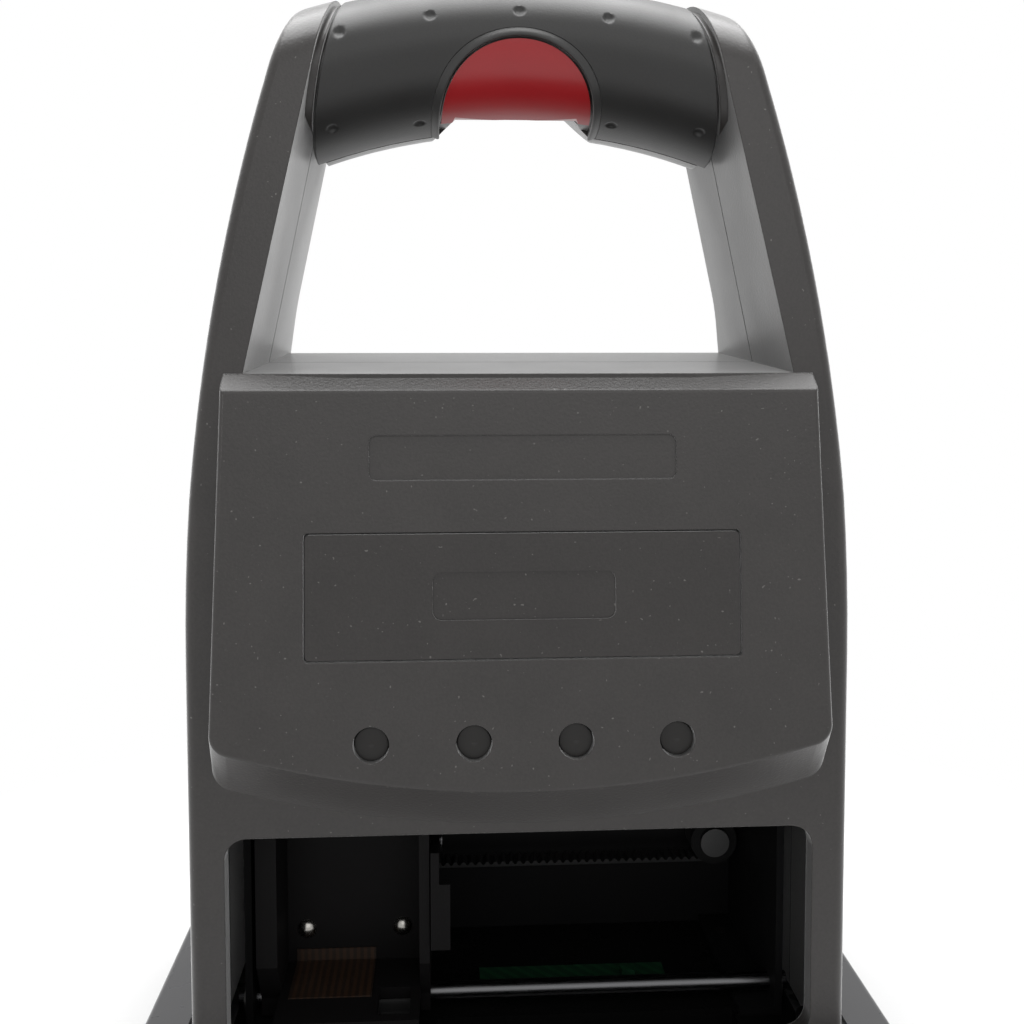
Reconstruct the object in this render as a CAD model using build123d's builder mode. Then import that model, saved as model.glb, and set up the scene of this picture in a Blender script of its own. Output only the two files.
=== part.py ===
"""Handheld inkjet printer: a casing in two shells on a base plate, with a stirrup handle and trigger.

A print carriage slides on two rods behind a wide window and is drawn across by a belt.
+X is to the right seen from the front, +Y runs to the back and +Z is up. The origin is on the
floor under the middle of the base plate. All sizes are in millimetres.
"""
import os
from math import cos, hypot, radians, sin, sqrt

from build123d import *

os.makedirs("parts", exist_ok=True)

# Clearances
press_gap = 0.02
slide_gap = 0.05
seat_gap = 0.05
panel_gap = 0.35
part_gap = 0.3
seam_gap = 0.3
cut_margin = 20.0

# Foot and base plate
foot_height = 2.0
foot_radius = 6.0
foot_inset = 13.0
foot_sink = 1.0
foot_round = 0.6
base_width = 166.0
base_depth = 116.0
base_thickness = 6.0
base_corner = 12.0
base_edge_round = 1.2
seal_width = 5.6
seal_thickness = 1.6
seal_drop = 0.4
seal_grip = 4.0

# Casing, with rises measured from the top of the base plate
casing_half_width = 67.4
casing_depth = 84.0
casing_rise = 229.2
casing_wall = 2.2
side_curve_rise = 87.0
side_curve_radius = 428.0
crown_clear = 0.2
top_corner_radius = 12.0
parting_depth = 30.0
casing_edge_round = 2.4

# Handle
handle_depth = 55.0
handle_lean = 6.2
handle_lean_reach = 79.0
handle_cap_drop = 42.0
handle_back_drop = 30.0
handle_foot_rise = 160.0
hip_rise = 104.0
hip_round = 18.0
gap_half_width_low = 55.1
gap_half_width_high = 44.4
gap_high_rise = 194.0
ledge_front_rise = 144.6
ledge_back_rise = 148.5

# Console
console_proud = 3.0
console_tilt = 5.0
console_top_rise = 141.3
console_low_rise = 63.8
console_half_width_top = 58.9
console_half_width_low = 60.9
console_smile = 9.0
console_corner = 4.5
console_wall = 2.8
console_chamfer_drop = 11.6
console_chamfer_spread = 1.4
console_edge_round = 0.9
name_recess_width = 60.3
name_recess_height = 8.7
name_recess_rise = 128.3
name_recess_depth = 0.4
name_recess_corner = 1.5

# Window
window_half_width = 60.0
window_low_rise = 6.4
window_top_rise = 51.4
window_corner = 4.6
window_rim = 1.6
window_rim_depth = 4.0

# Cover plate
cover_width = 85.7
cover_height = 24.9
cover_thickness = 1.6
cover_rise = 101.5
cover_corner = 0.9
cover_ledge = 4.0
tag_recess_width = 35.8
tag_recess_height = 9.3
tag_recess_depth = 0.35
tag_recess_corner = 1.8

# Keys and console board
key_radius = 3.2
key_spacing = 19.9
key_rise = 73.2
key_sink = 0.7
key_dome = 0.3
key_travel = 0.8
key_flange = 0.6
key_flange_thickness = 0.8
key_stem_radius = 1.5
switch_side = 6.0
switch_height = 3.2
switch_plunger = 0.7
panel_board_width = 76.0
panel_board_height = 15.0
panel_board_gap = 6.0
board_thickness = 1.6
board_boss_radius = 2.6

# Grip and trigger
grip_half_depth = 24.0
grip_half_height = 15.3
grip_top_gap = 0.7
grip_arch_radius = 140.0
grip_pad_thickness = 1.6
grip_groove = 0.6
collar_width = 1.4
collar_sink = 0.4
grip_wall = 2.2
dimple_radius = 1.2
dimple_depth = 0.5
dimple_spacing = 18.1
dimple_lift = 4.5
low_dimple_x = 20.6
low_dimple_drop = 14.0
end_dimple_x = 38.6
end_dimple_drop = 12.4
trigger_radius = 16.5
trigger_rise = 195.9
trigger_wall = 2.4
trigger_depth = 23.0
trigger_travel_room = 3.0
trigger_sink = 0.3
bezel_width = 1.7
bezel_proud = 0.6
trigger_pin_radius = 1.5
trigger_pin_half_length = 13.0
trigger_pin_depth = 18.0
trigger_pin_lift = 1.3
lug_inner = 8.0
lug_thickness = 2.0
lug_eye_radius = 3.2
lug_top_drop = 6.9
lug_low_drop = 12.5
actuator_drop = 7.0
actuator_half_width = 2.5
actuator_reach = 8.0
actuator_height = 3.0
switch_body_width = 12.8
switch_body_depth = 8.0
switch_body_height = 6.0
switch_tip_gap = 1.25
relief_half_width = 13.0
relief_flare = 6.0
relief_rise = 199.0
relief_slope = 0.23
relief_depth = 23.0

# Print mechanism
sheet_thickness = 1.6
bracket_half_span = 58.0
bracket_front = 18.0
chassis_y = 18.0
chassis_rise = 58.0
chassis_flange = 8.0
chassis_screw_x = 30.0
rear_rod_radius = 3.0
rear_rod_y = 11.5
rear_rod_rise = 44.0
front_rod_radius = 2.0
front_rod_depth = 24.0
front_rod_rise = 4.5
rod_overhang = 2.4
clip_thickness = 0.8
clip_radius_extra = 1.8
clip_groove = 0.6
clip_mouth = 0.7
carriage_width = 37.2
carriage_left_gap = 1.5
carriage_wall = 4.5
carriage_latch_wall = 2.2
carriage_back_depth = 34.0
carriage_back_thickness = 4.0
carriage_front = 14.0
carriage_floor_rise = 6.5
carriage_floor_thickness = 2.5
carriage_floor_front = 24.0
carriage_top_rise = 54.0
carriage_wall_end_rise = 16.6
nozzle_slot_width = 7.0
nozzle_slot_length = 10.0
nozzle_slot_side = 2.0
nozzle_slot_back = 1.6
bush_wall = 1.2
bush_length = 9.0
boss_wall = 1.3
fork_wall = 2.0
pulley_radius = 4.0
pulley_rise = 26.0
pulley_flange = 1.8
pulley_flange_thickness = 0.8
belt_width = 5.0
belt_thickness = 1.4
belt_y = 11.0
motor_x = -50.0
idler_x = 51.5
motor_radius = 11.0
motor_back_gap = 2.2
motor_end_wall = 6.0
motor_shaft_radius = 1.0
motor_shaft_room = 0.4
motor_pilot_radius = 3.5
motor_edge_round = 1.0
motor_screw_spread = 8.0
idler_axle_radius = 1.5
idler_head_radius = 3.6
idler_head_height = 0.9
clamp_width = 11.0
clamp_offset = 14.5
clamp_height = 2.6
latch_thickness = 1.8
latch_pin_radius = 1.5
latch_pin_depth = 28.0
latch_pin_rise = 38.0
latch_arm = 15.0
latch_drop = 18.0
latch_throat = 9.0
latch_tab = 2.4
latch_height = 7.0
flex_width = 18.0
flex_thickness = 0.3
flex_side = 2.0
flex_run = 15.0
flex_rise = 3.0
contact_screw_radius = 2.2
contact_screw_rise = 16.7
contact_screw_spread = 21.9
contact_screw_dome = 1.3
cap_height_gap = 0.4
cap_wall = 1.0
cap_margin = 1.0
cap_well = 3.0
print_slot_length = 67.0
print_slot_width = 15.0
print_slot_gap = 8.3
sensor_board_length = 44.0
sensor_board_width = 10.0
sensor_board_x = 14.0
sensor_board_depth = 33.0
sensor_x = 27.0
sensor_side = 3.0
sensor_height = 1.8
strip_height = 5.0
strip_thickness = 0.4
strip_rise = 50.6
strip_y = 15.8

# Battery and boards
battery_width = 64.0
battery_height = 34.0
battery_chassis_gap = 5.75
battery_round = 3.0
battery_x = 10.0
battery_rise = 26.0
bay_gap = 1.0
bay_wall = 1.6
door_lip = 1.4
door_thickness = 2.0
door_grip_width = 16.0
door_groove = 1.2
door_groove_depth = 0.7
main_board_width = 88.0
main_board_height = 52.0
main_board_y = 16.0
main_board_rise = 98.0
main_board_inset = 5.0
chip_side = 16.0
chip_height = 2.2
capacitor_radius = 4.0
capacitor_height = 9.0
socket_rise = 84.0
power_socket_x = -30.0
power_socket_radius = 5.0
power_socket_bore = 3.1
power_socket_length = 11.0
power_pin_radius = 0.9
socket_floor = 1.5
interface_socket_x = -6.0
interface_width = 13.0
interface_height = 11.0
interface_depth = 14.0
interface_wall = 1.6
interface_tongue = 2.0
interface_tongue_lift = 2.0

# Screws
screw_radius = 1.45
screw_head_radius = 2.7
screw_head_height = 2.2
casing_screw_x = 60.4
casing_screw_rises = (66.0, 92.0)
casing_screw_seat = 14.0
casing_screw_length = 24.0
casing_boss_wall = 1.6
base_screw_inset = 5.2
base_screw_length = 7.4
base_boss_height = 7.8
board_screw_radius = 1.0
board_screw_head = 1.9
board_screw_bite = 5.0

# Levels and planes worked out from the sizes above
plate_top = foot_height + base_thickness
casing_bottom = plate_top - seal_drop
casing_top = plate_top + casing_rise
front_y = -casing_depth / 2
back_y = casing_depth / 2
parting_y = front_y + parting_depth
handle_back_y = front_y + handle_depth
grip_y = handle_back_y - grip_half_depth
front_rod_y = front_y + front_rod_depth
carriage_back = front_y + carriage_back_depth
latch_pin_y = front_y + latch_pin_depth
sensor_board_y = front_y + sensor_board_depth
grip_z = casing_top - grip_top_gap - grip_half_height
floor_top = plate_top + carriage_floor_rise + carriage_floor_thickness
rear_rod_z = plate_top + rear_rod_rise
front_rod_z = plate_top + front_rod_rise
pulley_z = plate_top + pulley_rise
carriage_x0 = -bracket_half_span + carriage_left_gap
carriage_x1 = carriage_x0 + carriage_width
carriage_y0 = front_y + carriage_front
carriage_top = plate_top + carriage_top_rise
bay_x0 = carriage_x0 + carriage_wall
bay_x1 = carriage_x1 - carriage_latch_wall
back_y0 = carriage_back - carriage_back_thickness
chassis_back = chassis_y + sheet_thickness
belt_y0 = belt_y - belt_width / 2
belt_y1 = belt_y + belt_width / 2
belt_inner = pulley_radius + part_gap
belt_outer = belt_inner + belt_thickness


def slab(x, y, z, mode=Mode.ADD):
    """A box between two corners, given as a pair for each axis."""
    with Locations(((x[0] + x[1]) / 2, (y[0] + y[1]) / 2, (z[0] + z[1]) / 2)):
        Box(x[1] - x[0], y[1] - y[0], z[1] - z[0], mode=mode)


def bar_x(radius, x, y, z, mode=Mode.ADD):
    """A round bar along X."""
    with Locations(((x[0] + x[1]) / 2, y, z)):
        Cylinder(radius, x[1] - x[0], rotation=(0, 90, 0), mode=mode)


def bar_y(radius, x, y, z, mode=Mode.ADD):
    """A round bar along Y."""
    with Locations((x, (y[0] + y[1]) / 2, z)):
        Cylinder(radius, y[1] - y[0], rotation=(90, 0, 0), mode=mode)


def bar_z(radius, x, y, z, mode=Mode.ADD):
    """A round bar along Z."""
    with Locations((x, y, (z[0] + z[1]) / 2)):
        Cylinder(radius, z[1] - z[0], mode=mode)


def save(part, label):
    """Names a finished piece and writes it."""
    part.label = label
    export_step(part, f"parts/{label}.step")


def arc_point(centre, radius, toward):
    """The point on a circle that lies on the line from its centre through another point."""
    reach = hypot(toward[0] - centre[0], toward[1] - centre[1])
    return (
        centre[0] + radius * (toward[0] - centre[0]) / reach,
        centre[1] + radius * (toward[1] - centre[1]) / reach,
    )


def arc_about(centre, start, end):
    """The short arc about a centre from a start to an end point."""
    radius = hypot(start[0] - centre[0], start[1] - centre[1])
    middle = ((start[0] + end[0]) / 2, (start[1] + end[1]) / 2)
    return ThreePointArc(start, arc_point(centre, radius, middle), end)


def circles_meet(centre_a, radius_a, centre_b, radius_b):
    """The upper meeting point of two circles."""
    dx = centre_b[0] - centre_a[0]
    dz = centre_b[1] - centre_a[1]
    apart = hypot(dx, dz)
    along = (radius_a**2 - radius_b**2 + apart**2) / (2 * apart)
    across = sqrt(radius_a**2 - along**2)
    foot = (centre_a[0] + along * dx / apart, centre_a[1] + along * dz / apart)
    first = (foot[0] + across * dz / apart, foot[1] - across * dx / apart)
    second = (foot[0] - across * dz / apart, foot[1] + across * dx / apart)
    return max(first, second, key=lambda point: point[1])


def handle_cap(inset):
    """What the handle's form leaves free: an upper slab less a tube arched over the hand."""
    axis_z = grip_z - grip_arch_radius
    low_z = axis_z + handle_lean_reach
    tube_front = front_y + handle_lean
    tube_back = handle_back_y + part_gap
    tube_y = (tube_front + tube_back) / 2
    half_depth = (tube_back - tube_front) / 2 - inset
    half_height = casing_top - grip_z - inset
    far = casing_depth
    with BuildPart() as cap:
        slab((-far, far), (-far, far), (low_z - handle_cap_drop, casing_top + far))
        with BuildSketch(Plane.YZ):
            with BuildLine():
                Line((-far, axis_z), (-far, low_z))
                Line((-far, low_z), (front_y + inset, low_z))
                Line((front_y + inset, low_z), (tube_y - half_depth, grip_z))
                EllipticalCenterArc((tube_y, grip_z), half_depth, half_height, start_angle=0, arc_size=180)
                Line((tube_y + half_depth, grip_z), (tube_y + half_depth, grip_z - handle_back_drop))
                Line((tube_y + half_depth, grip_z - handle_back_drop), (far, grip_z - handle_back_drop))
                Line((far, grip_z - handle_back_drop), (far, axis_z))
                Line((far, axis_z), (-far, axis_z))
            make_face()
        revolve(axis=Axis((0, 0, axis_z), (0, 1, 0)), mode=Mode.SUBTRACT)
    return cap.part


def casing_block(inset, bottom):
    """The casing's form drawn in by an inset: front outline crossed with side profile, under the handle."""
    half = casing_half_width - inset
    side_z = plate_top + side_curve_rise
    side_centre = (casing_half_width - side_curve_radius, side_z)
    crown_centre = (0, grip_z - grip_arch_radius)
    crown_radius = casing_top - crown_centre[1] + crown_clear
    corner = circles_meet(
        side_centre, side_curve_radius - top_corner_radius, crown_centre, crown_radius - top_corner_radius
    )
    side_end = arc_point(side_centre, side_curve_radius - inset, corner)
    crown_end = arc_point(crown_centre, crown_radius - inset, corner)
    crown_top = (0, crown_centre[1] + crown_radius - inset)
    hip = (back_y, plate_top + hip_rise)
    waist = (handle_back_y, plate_top + handle_foot_rise)
    roof = casing_top + casing_depth
    with BuildPart() as block:
        with BuildSketch(Plane.XZ):
            with BuildLine():
                Line((0, bottom), (half, bottom))
                Line((half, bottom), (half, side_z))
                arc_about(side_centre, (half, side_z), side_end)
                arc_about(corner, side_end, crown_end)
                arc_about(crown_centre, crown_end, crown_top)
                Line(crown_top, (0, bottom))
            make_face()
            mirror(about=Plane.YZ)
        extrude(amount=casing_depth, both=True)
        with BuildSketch(Plane.YZ) as profile:
            Polygon(
                (front_y, bottom - inset), (front_y, roof), (handle_back_y, roof), waist, hip,
                (back_y, bottom - inset), align=None,
            )
            bends = profile.vertices().sort_by(lambda v: min(abs(v.Y - waist[1]), abs(v.Y - hip[1])))[:2]
            fillet(bends, radius=hip_round)
            if inset:
                offset(amount=-inset, kind=Kind.INTERSECTION)
        extrude(amount=casing_half_width + cut_margin, both=True, mode=Mode.INTERSECT)
        add(handle_cap(inset), mode=Mode.SUBTRACT)
    return block.part


def side_half_width(z):
    """The casing's half width at a height, along the curve of its sides."""
    climb = max(0, z - plate_top - side_curve_rise)
    return casing_half_width - side_curve_radius + sqrt(side_curve_radius**2 - climb**2)


def on_front_corner(edge):
    """Whether an edge is one where the casing's front meets its sides, from the base up over the handle."""
    middle = edge @ 0.5
    ahead = middle.Y < parting_y - grip_wall and middle.Z > plate_top
    return ahead and abs(abs(middle.X) - side_half_width(middle.Z)) < slide_gap


def gap_prism(outset):
    """The space between the arms, above the sloping ledge, widened by an outset."""
    low_z = plate_top + ledge_front_rise
    high_z = plate_top + gap_high_rise
    lean = (gap_half_width_low - gap_half_width_high) / (high_z - low_z)
    spread = outset * sqrt(1 + lean**2)
    start_z = low_z - cut_margin
    end_z = casing_top + cut_margin
    start_half = gap_half_width_low + lean * (low_z - start_z) + spread
    end_half = gap_half_width_low - lean * (end_z - low_z) + spread
    ledge_rise = ledge_back_rise - ledge_front_rise
    ledge_normal = Vector(0, -ledge_rise, handle_depth)
    ledge = Plane(origin=(0, front_y, low_z - outset), x_dir=(1, 0, 0), z_dir=ledge_normal)
    with BuildPart() as prism:
        with BuildSketch(Plane.XZ):
            Polygon(
                (-start_half, start_z), (start_half, start_z), (end_half, end_z), (-end_half, end_z),
                align=None,
            )
        extrude(amount=casing_depth, both=True)
        split(bisect_by=ledge, keep=Keep.TOP)
    return prism.part


def face_plane(depth):
    """The console's leaning face, moved in from its surface by a depth."""
    tilt = radians(console_tilt)
    outward = Vector(0, -cos(tilt), sin(tilt))
    top = Vector(0, front_y - console_proud, plate_top + console_top_rise)
    return Plane(origin=top - outward * depth, x_dir=(1, 0, 0), z_dir=outward)


def face_v(rise):
    """How far down the console's face a height lies, from the face's top edge."""
    return (rise - console_top_rise) / cos(radians(console_tilt))


def console_outline(plane, half_top, half_low, top_v, low_v):
    """A console outline: leaning sides, rounded lower corners and a curved lower edge."""
    corner_v = low_v + console_smile
    with BuildSketch(plane) as outline:
        with BuildLine():
            Line((-half_top, top_v), (half_top, top_v))
            Line((half_top, top_v), (half_low, corner_v))
            ThreePointArc((half_low, corner_v), (0, low_v), (-half_low, corner_v))
            Line((-half_low, corner_v), (-half_top, top_v))
        make_face()
        fillet(outline.vertices().group_by(Axis.Y)[0], radius=console_corner)
    return outline.sketch


def console_block(inset, depth, run, low_z):
    """The console as a loft from its leaning face back to a foot that stands a run behind the front."""
    low_v = face_v(console_low_rise)
    foot_y = front_y + run
    ledge_slope = (ledge_back_rise - ledge_front_rise) / handle_depth
    top_z = plate_top + ledge_front_rise + run * ledge_slope - inset
    foot_plane = Plane(origin=(0, foot_y, 0), x_dir=(1, 0, 0), z_dir=(0, -1, 0))
    half_top = console_half_width_top - inset
    half_low = console_half_width_low - inset
    with BuildPart() as block:
        add(console_outline(face_plane(depth), half_top, half_low, -inset, low_v + inset))
        add(console_outline(foot_plane, half_top, half_low + console_chamfer_spread, top_z, low_z))
        loft(ruled=True)
    return block.part


def grip_bar(inset):
    """The grip as an oval swept along an arch, drawn in by an inset."""
    reach = gap_half_width_high + casing_wall
    drop = grip_arch_radius - sqrt(grip_arch_radius**2 - reach**2)
    with BuildPart() as bar:
        with BuildLine(Plane.XZ.offset(-grip_y)) as path:
            ThreePointArc((-reach, grip_z - drop), (0, grip_z), (reach, grip_z - drop))
        start = path.line @ 0
        with BuildSketch(Plane(origin=start, x_dir=(0, 1, 0), z_dir=path.line % 0)):
            Ellipse(grip_half_depth - inset, grip_half_height - inset)
        sweep()
    return bar.part


def arch_prism(radius, y):
    """An upright arch as seen from the front, carried from y[0] back to y[1]."""
    arch_plane = Plane(origin=(0, y[0], plate_top + trigger_rise), x_dir=(1, 0, 0), z_dir=(0, -1, 0))
    with BuildPart() as prism:
        with BuildSketch(arch_plane):
            Circle(radius)
            with Locations((0, -radius)):
                Rectangle(2 * radius, 2 * radius)
        extrude(amount=y[0] - y[1])
    return prism.part


def relief_prism(lift):
    """The finger relief under the grip: a flared notch whose roof climbs to the back."""
    roof = plate_top + relief_rise + lift
    low = roof - relief_flare - lift
    flare_half = relief_half_width + relief_flare
    start = Plane(origin=(0, front_y + relief_depth, 0), x_dir=(1, 0, 0), z_dir=(0, -1, 0))
    with BuildPart() as prism:
        with BuildSketch(start):
            Polygon(
                (-relief_half_width, roof), (relief_half_width, roof), (flare_half, low),
                (flare_half, low - cut_margin), (-flare_half, low - cut_margin), (-flare_half, low),
                align=None,
            )
        extrude(amount=handle_depth, dir=(0, 1, relief_slope))
        extrude(prism.faces().sort_by(Axis.Y)[0], amount=relief_depth)
    return prism.part


# Casing form: the block less the hand gap, with rounded rims and the console on its front
console_foot_z = plate_top + console_low_rise - console_chamfer_drop
with BuildPart() as casing:
    add(casing_block(0, casing_bottom))
    add(gap_prism(0), mode=Mode.SUBTRACT)
    front_corners = [edge for edge in casing.edges() if on_front_corner(edge)]
    fillet(front_corners, radius=casing_edge_round)
    add(console_block(0, 0, casing_wall / 2, console_foot_z))
    console_face = casing.faces().sort_by(Axis.Y)[0]
    fillet(console_face.edges(), radius=console_edge_round)

# Hollow of the casing: its block drawn in by the wall, the room in the console and the grip's bore
hollow_foot_z = plate_top + window_top_rise + window_rim + casing_wall
grip_floor = grip_pad_thickness + grip_wall
with BuildPart() as hollow:
    add(casing_block(casing_wall, casing_bottom - cut_margin))
    add(gap_prism(casing_wall), mode=Mode.SUBTRACT)
    add(console_block(console_wall, console_wall, 2 * casing_wall, hollow_foot_z))
with BuildPart() as grip_bore:
    add(grip_bar(grip_floor))
    add(casing_block(casing_wall, casing_bottom), mode=Mode.INTERSECT)
    add(relief_prism(grip_wall), mode=Mode.SUBTRACT)
parting_front = Plane(origin=(0, parting_y, 0), x_dir=(1, 0, 0), z_dir=(0, -1, 0))
parting_rear = parting_front.offset(-seam_gap)
with BuildPart() as grip_core:
    add(grip_bar(0))
    split(bisect_by=parting_front, keep=Keep.BOTTOM)
    add(grip_bar(grip_pad_thickness))
    add(gap_prism(casing_wall / 2), mode=Mode.INTERSECT)
with BuildPart() as collars:
    add(grip_bar(collar_sink))
    add(gap_prism(casing_wall / 2), mode=Mode.INTERSECT)
    add(gap_prism(-collar_width), mode=Mode.SUBTRACT)

with BuildPart() as shells:
    add(casing.part)
    add(grip_core.part)
    add(collars.part)
    add(hollow.part, mode=Mode.SUBTRACT)
    add(grip_bore.part, mode=Mode.SUBTRACT)
    add(relief_prism(0), mode=Mode.SUBTRACT)

# Front shell: the casing ahead of the parting plane, with its window, console openings and bosses
front_plane = Plane(origin=(0, front_y, 0), x_dir=(1, 0, 0), z_dir=(0, -1, 0))
window_z = plate_top + (window_low_rise + window_top_rise) / 2
window_height = window_top_rise - window_low_rise
key_places = [(key_spacing * (i - 1.5), face_v(key_rise)) for i in range(4)]
board_boss_places = [(key_spacing * i, face_v(key_rise)) for i in (-1, 1)]
panel_depth = console_wall + panel_board_gap
casing_screw_places = [(s * casing_screw_x, plate_top + rise) for s in (-1, 1) for rise in casing_screw_rises]
base_boss_x = casing_half_width - base_screw_inset
base_boss_y = casing_depth / 2 - base_screw_inset
base_boss_radius = screw_radius + casing_boss_wall + part_gap
base_boss_z = (plate_top + seat_gap, plate_top + base_boss_height)
front_boss_radius = screw_radius + casing_boss_wall
rear_boss_radius = screw_head_radius + part_gap + casing_boss_wall
casing_seat_y = parting_y + casing_screw_seat
pin_y = front_y + trigger_pin_depth
pin_z = grip_z + trigger_pin_lift
lug_outer = lug_inner + lug_thickness
arch_start = front_y - cut_margin
arch_end = front_y + trigger_depth
relief = relief_prism(0)

with BuildPart() as front_bosses:
    for x, z in casing_screw_places:
        bar_y(front_boss_radius, x, (front_y, parting_y), z)
    for side in (-1, 1):
        bar_z(base_boss_radius, side * base_boss_x, -base_boss_y, base_boss_z)
    add(casing_block(casing_wall / 2, casing_bottom), mode=Mode.INTERSECT)
with BuildPart() as pin_ears:
    for side in (-1, 1):
        span = sorted((side * (lug_outer + part_gap), side * trigger_pin_half_length))
        slab(span, (front_y, pin_y + lug_eye_radius), (pin_z - lug_eye_radius, casing_top))
    add(grip_bar(grip_pad_thickness + grip_wall / 2), mode=Mode.INTERSECT)

with BuildPart() as front_shell:
    add(shells.part)
    split(bisect_by=parting_front, keep=Keep.TOP)
    add(front_bosses.part)
    add(pin_ears.part)
    with BuildSketch(front_plane):
        with Locations((0, window_z)):
            RectangleRounded(
                2 * (window_half_width + window_rim), window_height + 2 * window_rim,
                window_corner + window_rim,
            )
    extrude(amount=-window_rim_depth)
    with BuildSketch(front_plane):
        with Locations((0, window_z)):
            RectangleRounded(2 * window_half_width, window_height, window_corner)
    extrude(amount=-(window_rim_depth + cut_margin / 2), mode=Mode.SUBTRACT)
    with BuildSketch(face_plane(0)):
        with Locations((0, face_v(name_recess_rise))):
            RectangleRounded(name_recess_width, name_recess_height, name_recess_corner)
    extrude(amount=-name_recess_depth, mode=Mode.SUBTRACT)
    with BuildSketch(face_plane(0)):
        with Locations((0, face_v(cover_rise))):
            RectangleRounded(cover_width, cover_height, cover_corner)
    extrude(amount=-cover_thickness, mode=Mode.SUBTRACT)
    with BuildSketch(face_plane(0)):
        with Locations((0, face_v(cover_rise))):
            Rectangle(cover_width - 2 * cover_ledge, cover_height - 2 * cover_ledge)
        with Locations(*key_places):
            Circle(key_radius + part_gap)
    extrude(amount=-2 * console_wall, mode=Mode.SUBTRACT)
    with BuildSketch(face_plane(console_wall / 2)):
        with Locations(*board_boss_places):
            Circle(board_boss_radius)
    extrude(amount=-(panel_depth - console_wall / 2))
    with BuildSketch(face_plane(panel_depth)):
        with Locations(*board_boss_places):
            Circle(board_screw_radius + press_gap)
    extrude(amount=panel_board_gap, mode=Mode.SUBTRACT)
    for x, z in casing_screw_places:
        hole = (parting_y - casing_screw_length, parting_y)
        bar_y(screw_radius + press_gap, x, hole, z, mode=Mode.SUBTRACT)
    for side in (-1, 1):
        shaft = (casing_bottom, plate_top + base_boss_height)
        bar_z(screw_radius + press_gap, side * base_boss_x, -base_boss_y, shaft, mode=Mode.SUBTRACT)
    bar_x(
        trigger_pin_radius + press_gap, (-trigger_pin_half_length, trigger_pin_half_length), pin_y, pin_z,
        mode=Mode.SUBTRACT,
    )
    add(arch_prism(trigger_radius, (arch_start, arch_end + trigger_travel_room)), mode=Mode.SUBTRACT)
save(front_shell.part, "front_shell")

# Rear shell: the casing behind the parting plane, with the battery bay, boss tubes and socket holes
bay_x = (battery_x - battery_width / 2 - bay_gap, battery_x + battery_width / 2 + bay_gap)
bay_mid_z = plate_top + battery_rise
bay_z = (bay_mid_z - battery_height / 2 - bay_gap, bay_mid_z + battery_height / 2 + bay_gap)
bay_back = back_y - door_thickness
bay_front = chassis_back + battery_chassis_gap + bay_wall
battery_thickness = bay_back - seat_gap - bay_front
door_x = (bay_x[0] - door_lip, bay_x[1] + door_lip)
door_z = (bay_z[0] - door_lip, bay_z[1] + door_lip)
board_half_x = main_board_width / 2 - main_board_inset
board_half_z = main_board_height / 2 - main_board_inset
main_board_z = plate_top + main_board_rise
main_board_back = main_board_y + board_thickness
board_places = [(sx * board_half_x, main_board_z + sz * board_half_z) for sx in (-1, 1) for sz in (-1, 1)]
socket_z = plate_top + socket_rise
switch_z = pin_z - actuator_drop
switch_front = pin_y + actuator_reach + switch_tip_gap + switch_plunger
switch_low = switch_z - switch_body_height / 2

with BuildPart() as rear_bosses:
    for x, z in casing_screw_places:
        bar_y(rear_boss_radius, x, (parting_y, back_y), z)
    for x, z in board_places:
        bar_y(board_boss_radius, x, (main_board_back, back_y), z)
    for side in (-1, 1):
        bar_z(base_boss_radius, side * base_boss_x, base_boss_y, base_boss_z)
    add(casing_block(casing_wall / 2, casing_bottom), mode=Mode.INTERSECT)
with BuildPart() as switch_shelf:
    slab(
        (-switch_body_width / 2, switch_body_width / 2), (parting_y, parting_y + switch_body_depth),
        (switch_low - grip_half_height, switch_low),
    )
    add(grip_bar(grip_pad_thickness + grip_wall / 2), mode=Mode.INTERSECT)
    add(relief, mode=Mode.SUBTRACT)

with BuildPart() as rear_shell:
    add(shells.part)
    split(bisect_by=parting_rear, keep=Keep.BOTTOM)
    add(rear_bosses.part)
    add(switch_shelf.part)
    slab(
        (door_x[0] - bay_wall, door_x[1] + bay_wall), (bay_front - bay_wall, back_y - casing_wall / 2),
        (door_z[0] - bay_wall, door_z[1] + bay_wall),
    )
    slab(bay_x, (bay_front, back_y + cut_margin), bay_z, mode=Mode.SUBTRACT)
    slab(door_x, (bay_back, back_y + cut_margin), door_z, mode=Mode.SUBTRACT)
    for x, z in casing_screw_places:
        bar_y(screw_radius + part_gap, x, (parting_y - cut_margin, casing_seat_y), z, mode=Mode.SUBTRACT)
        bar_y(screw_head_radius + part_gap, x, (casing_seat_y, back_y + cut_margin), z, mode=Mode.SUBTRACT)
    for x, z in board_places:
        hole = (main_board_y, main_board_back + panel_board_gap)
        bar_y(board_screw_radius + press_gap, x, hole, z, mode=Mode.SUBTRACT)
    for side in (-1, 1):
        shaft = (casing_bottom, plate_top + base_boss_height)
        bar_z(screw_radius + press_gap, side * base_boss_x, base_boss_y, shaft, mode=Mode.SUBTRACT)
    socket_run = (back_y - casing_wall - cut_margin, back_y + cut_margin)
    bar_y(power_socket_radius + seat_gap, power_socket_x, socket_run, socket_z, mode=Mode.SUBTRACT)
    jack_half_x = interface_width / 2 + seat_gap
    jack_half_z = interface_height / 2 + seat_gap
    slab(
        (interface_socket_x - jack_half_x, interface_socket_x + jack_half_x), socket_run,
        (socket_z - jack_half_z, socket_z + jack_half_z), mode=Mode.SUBTRACT,
    )
save(rear_shell.part, "rear_shell")

# Grip pad: a soft layer over the front of the grip, with rows of small dimples
dimple_places = [(step * dimple_spacing, dimple_lift) for step in (-2, -1, 0, 1, 2)]
dimple_places += [(side * low_dimple_x, -low_dimple_drop) for side in (-1, 1)]
dimple_places += [(side * end_dimple_x, -end_dimple_drop) for side in (-1, 1)]


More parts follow.
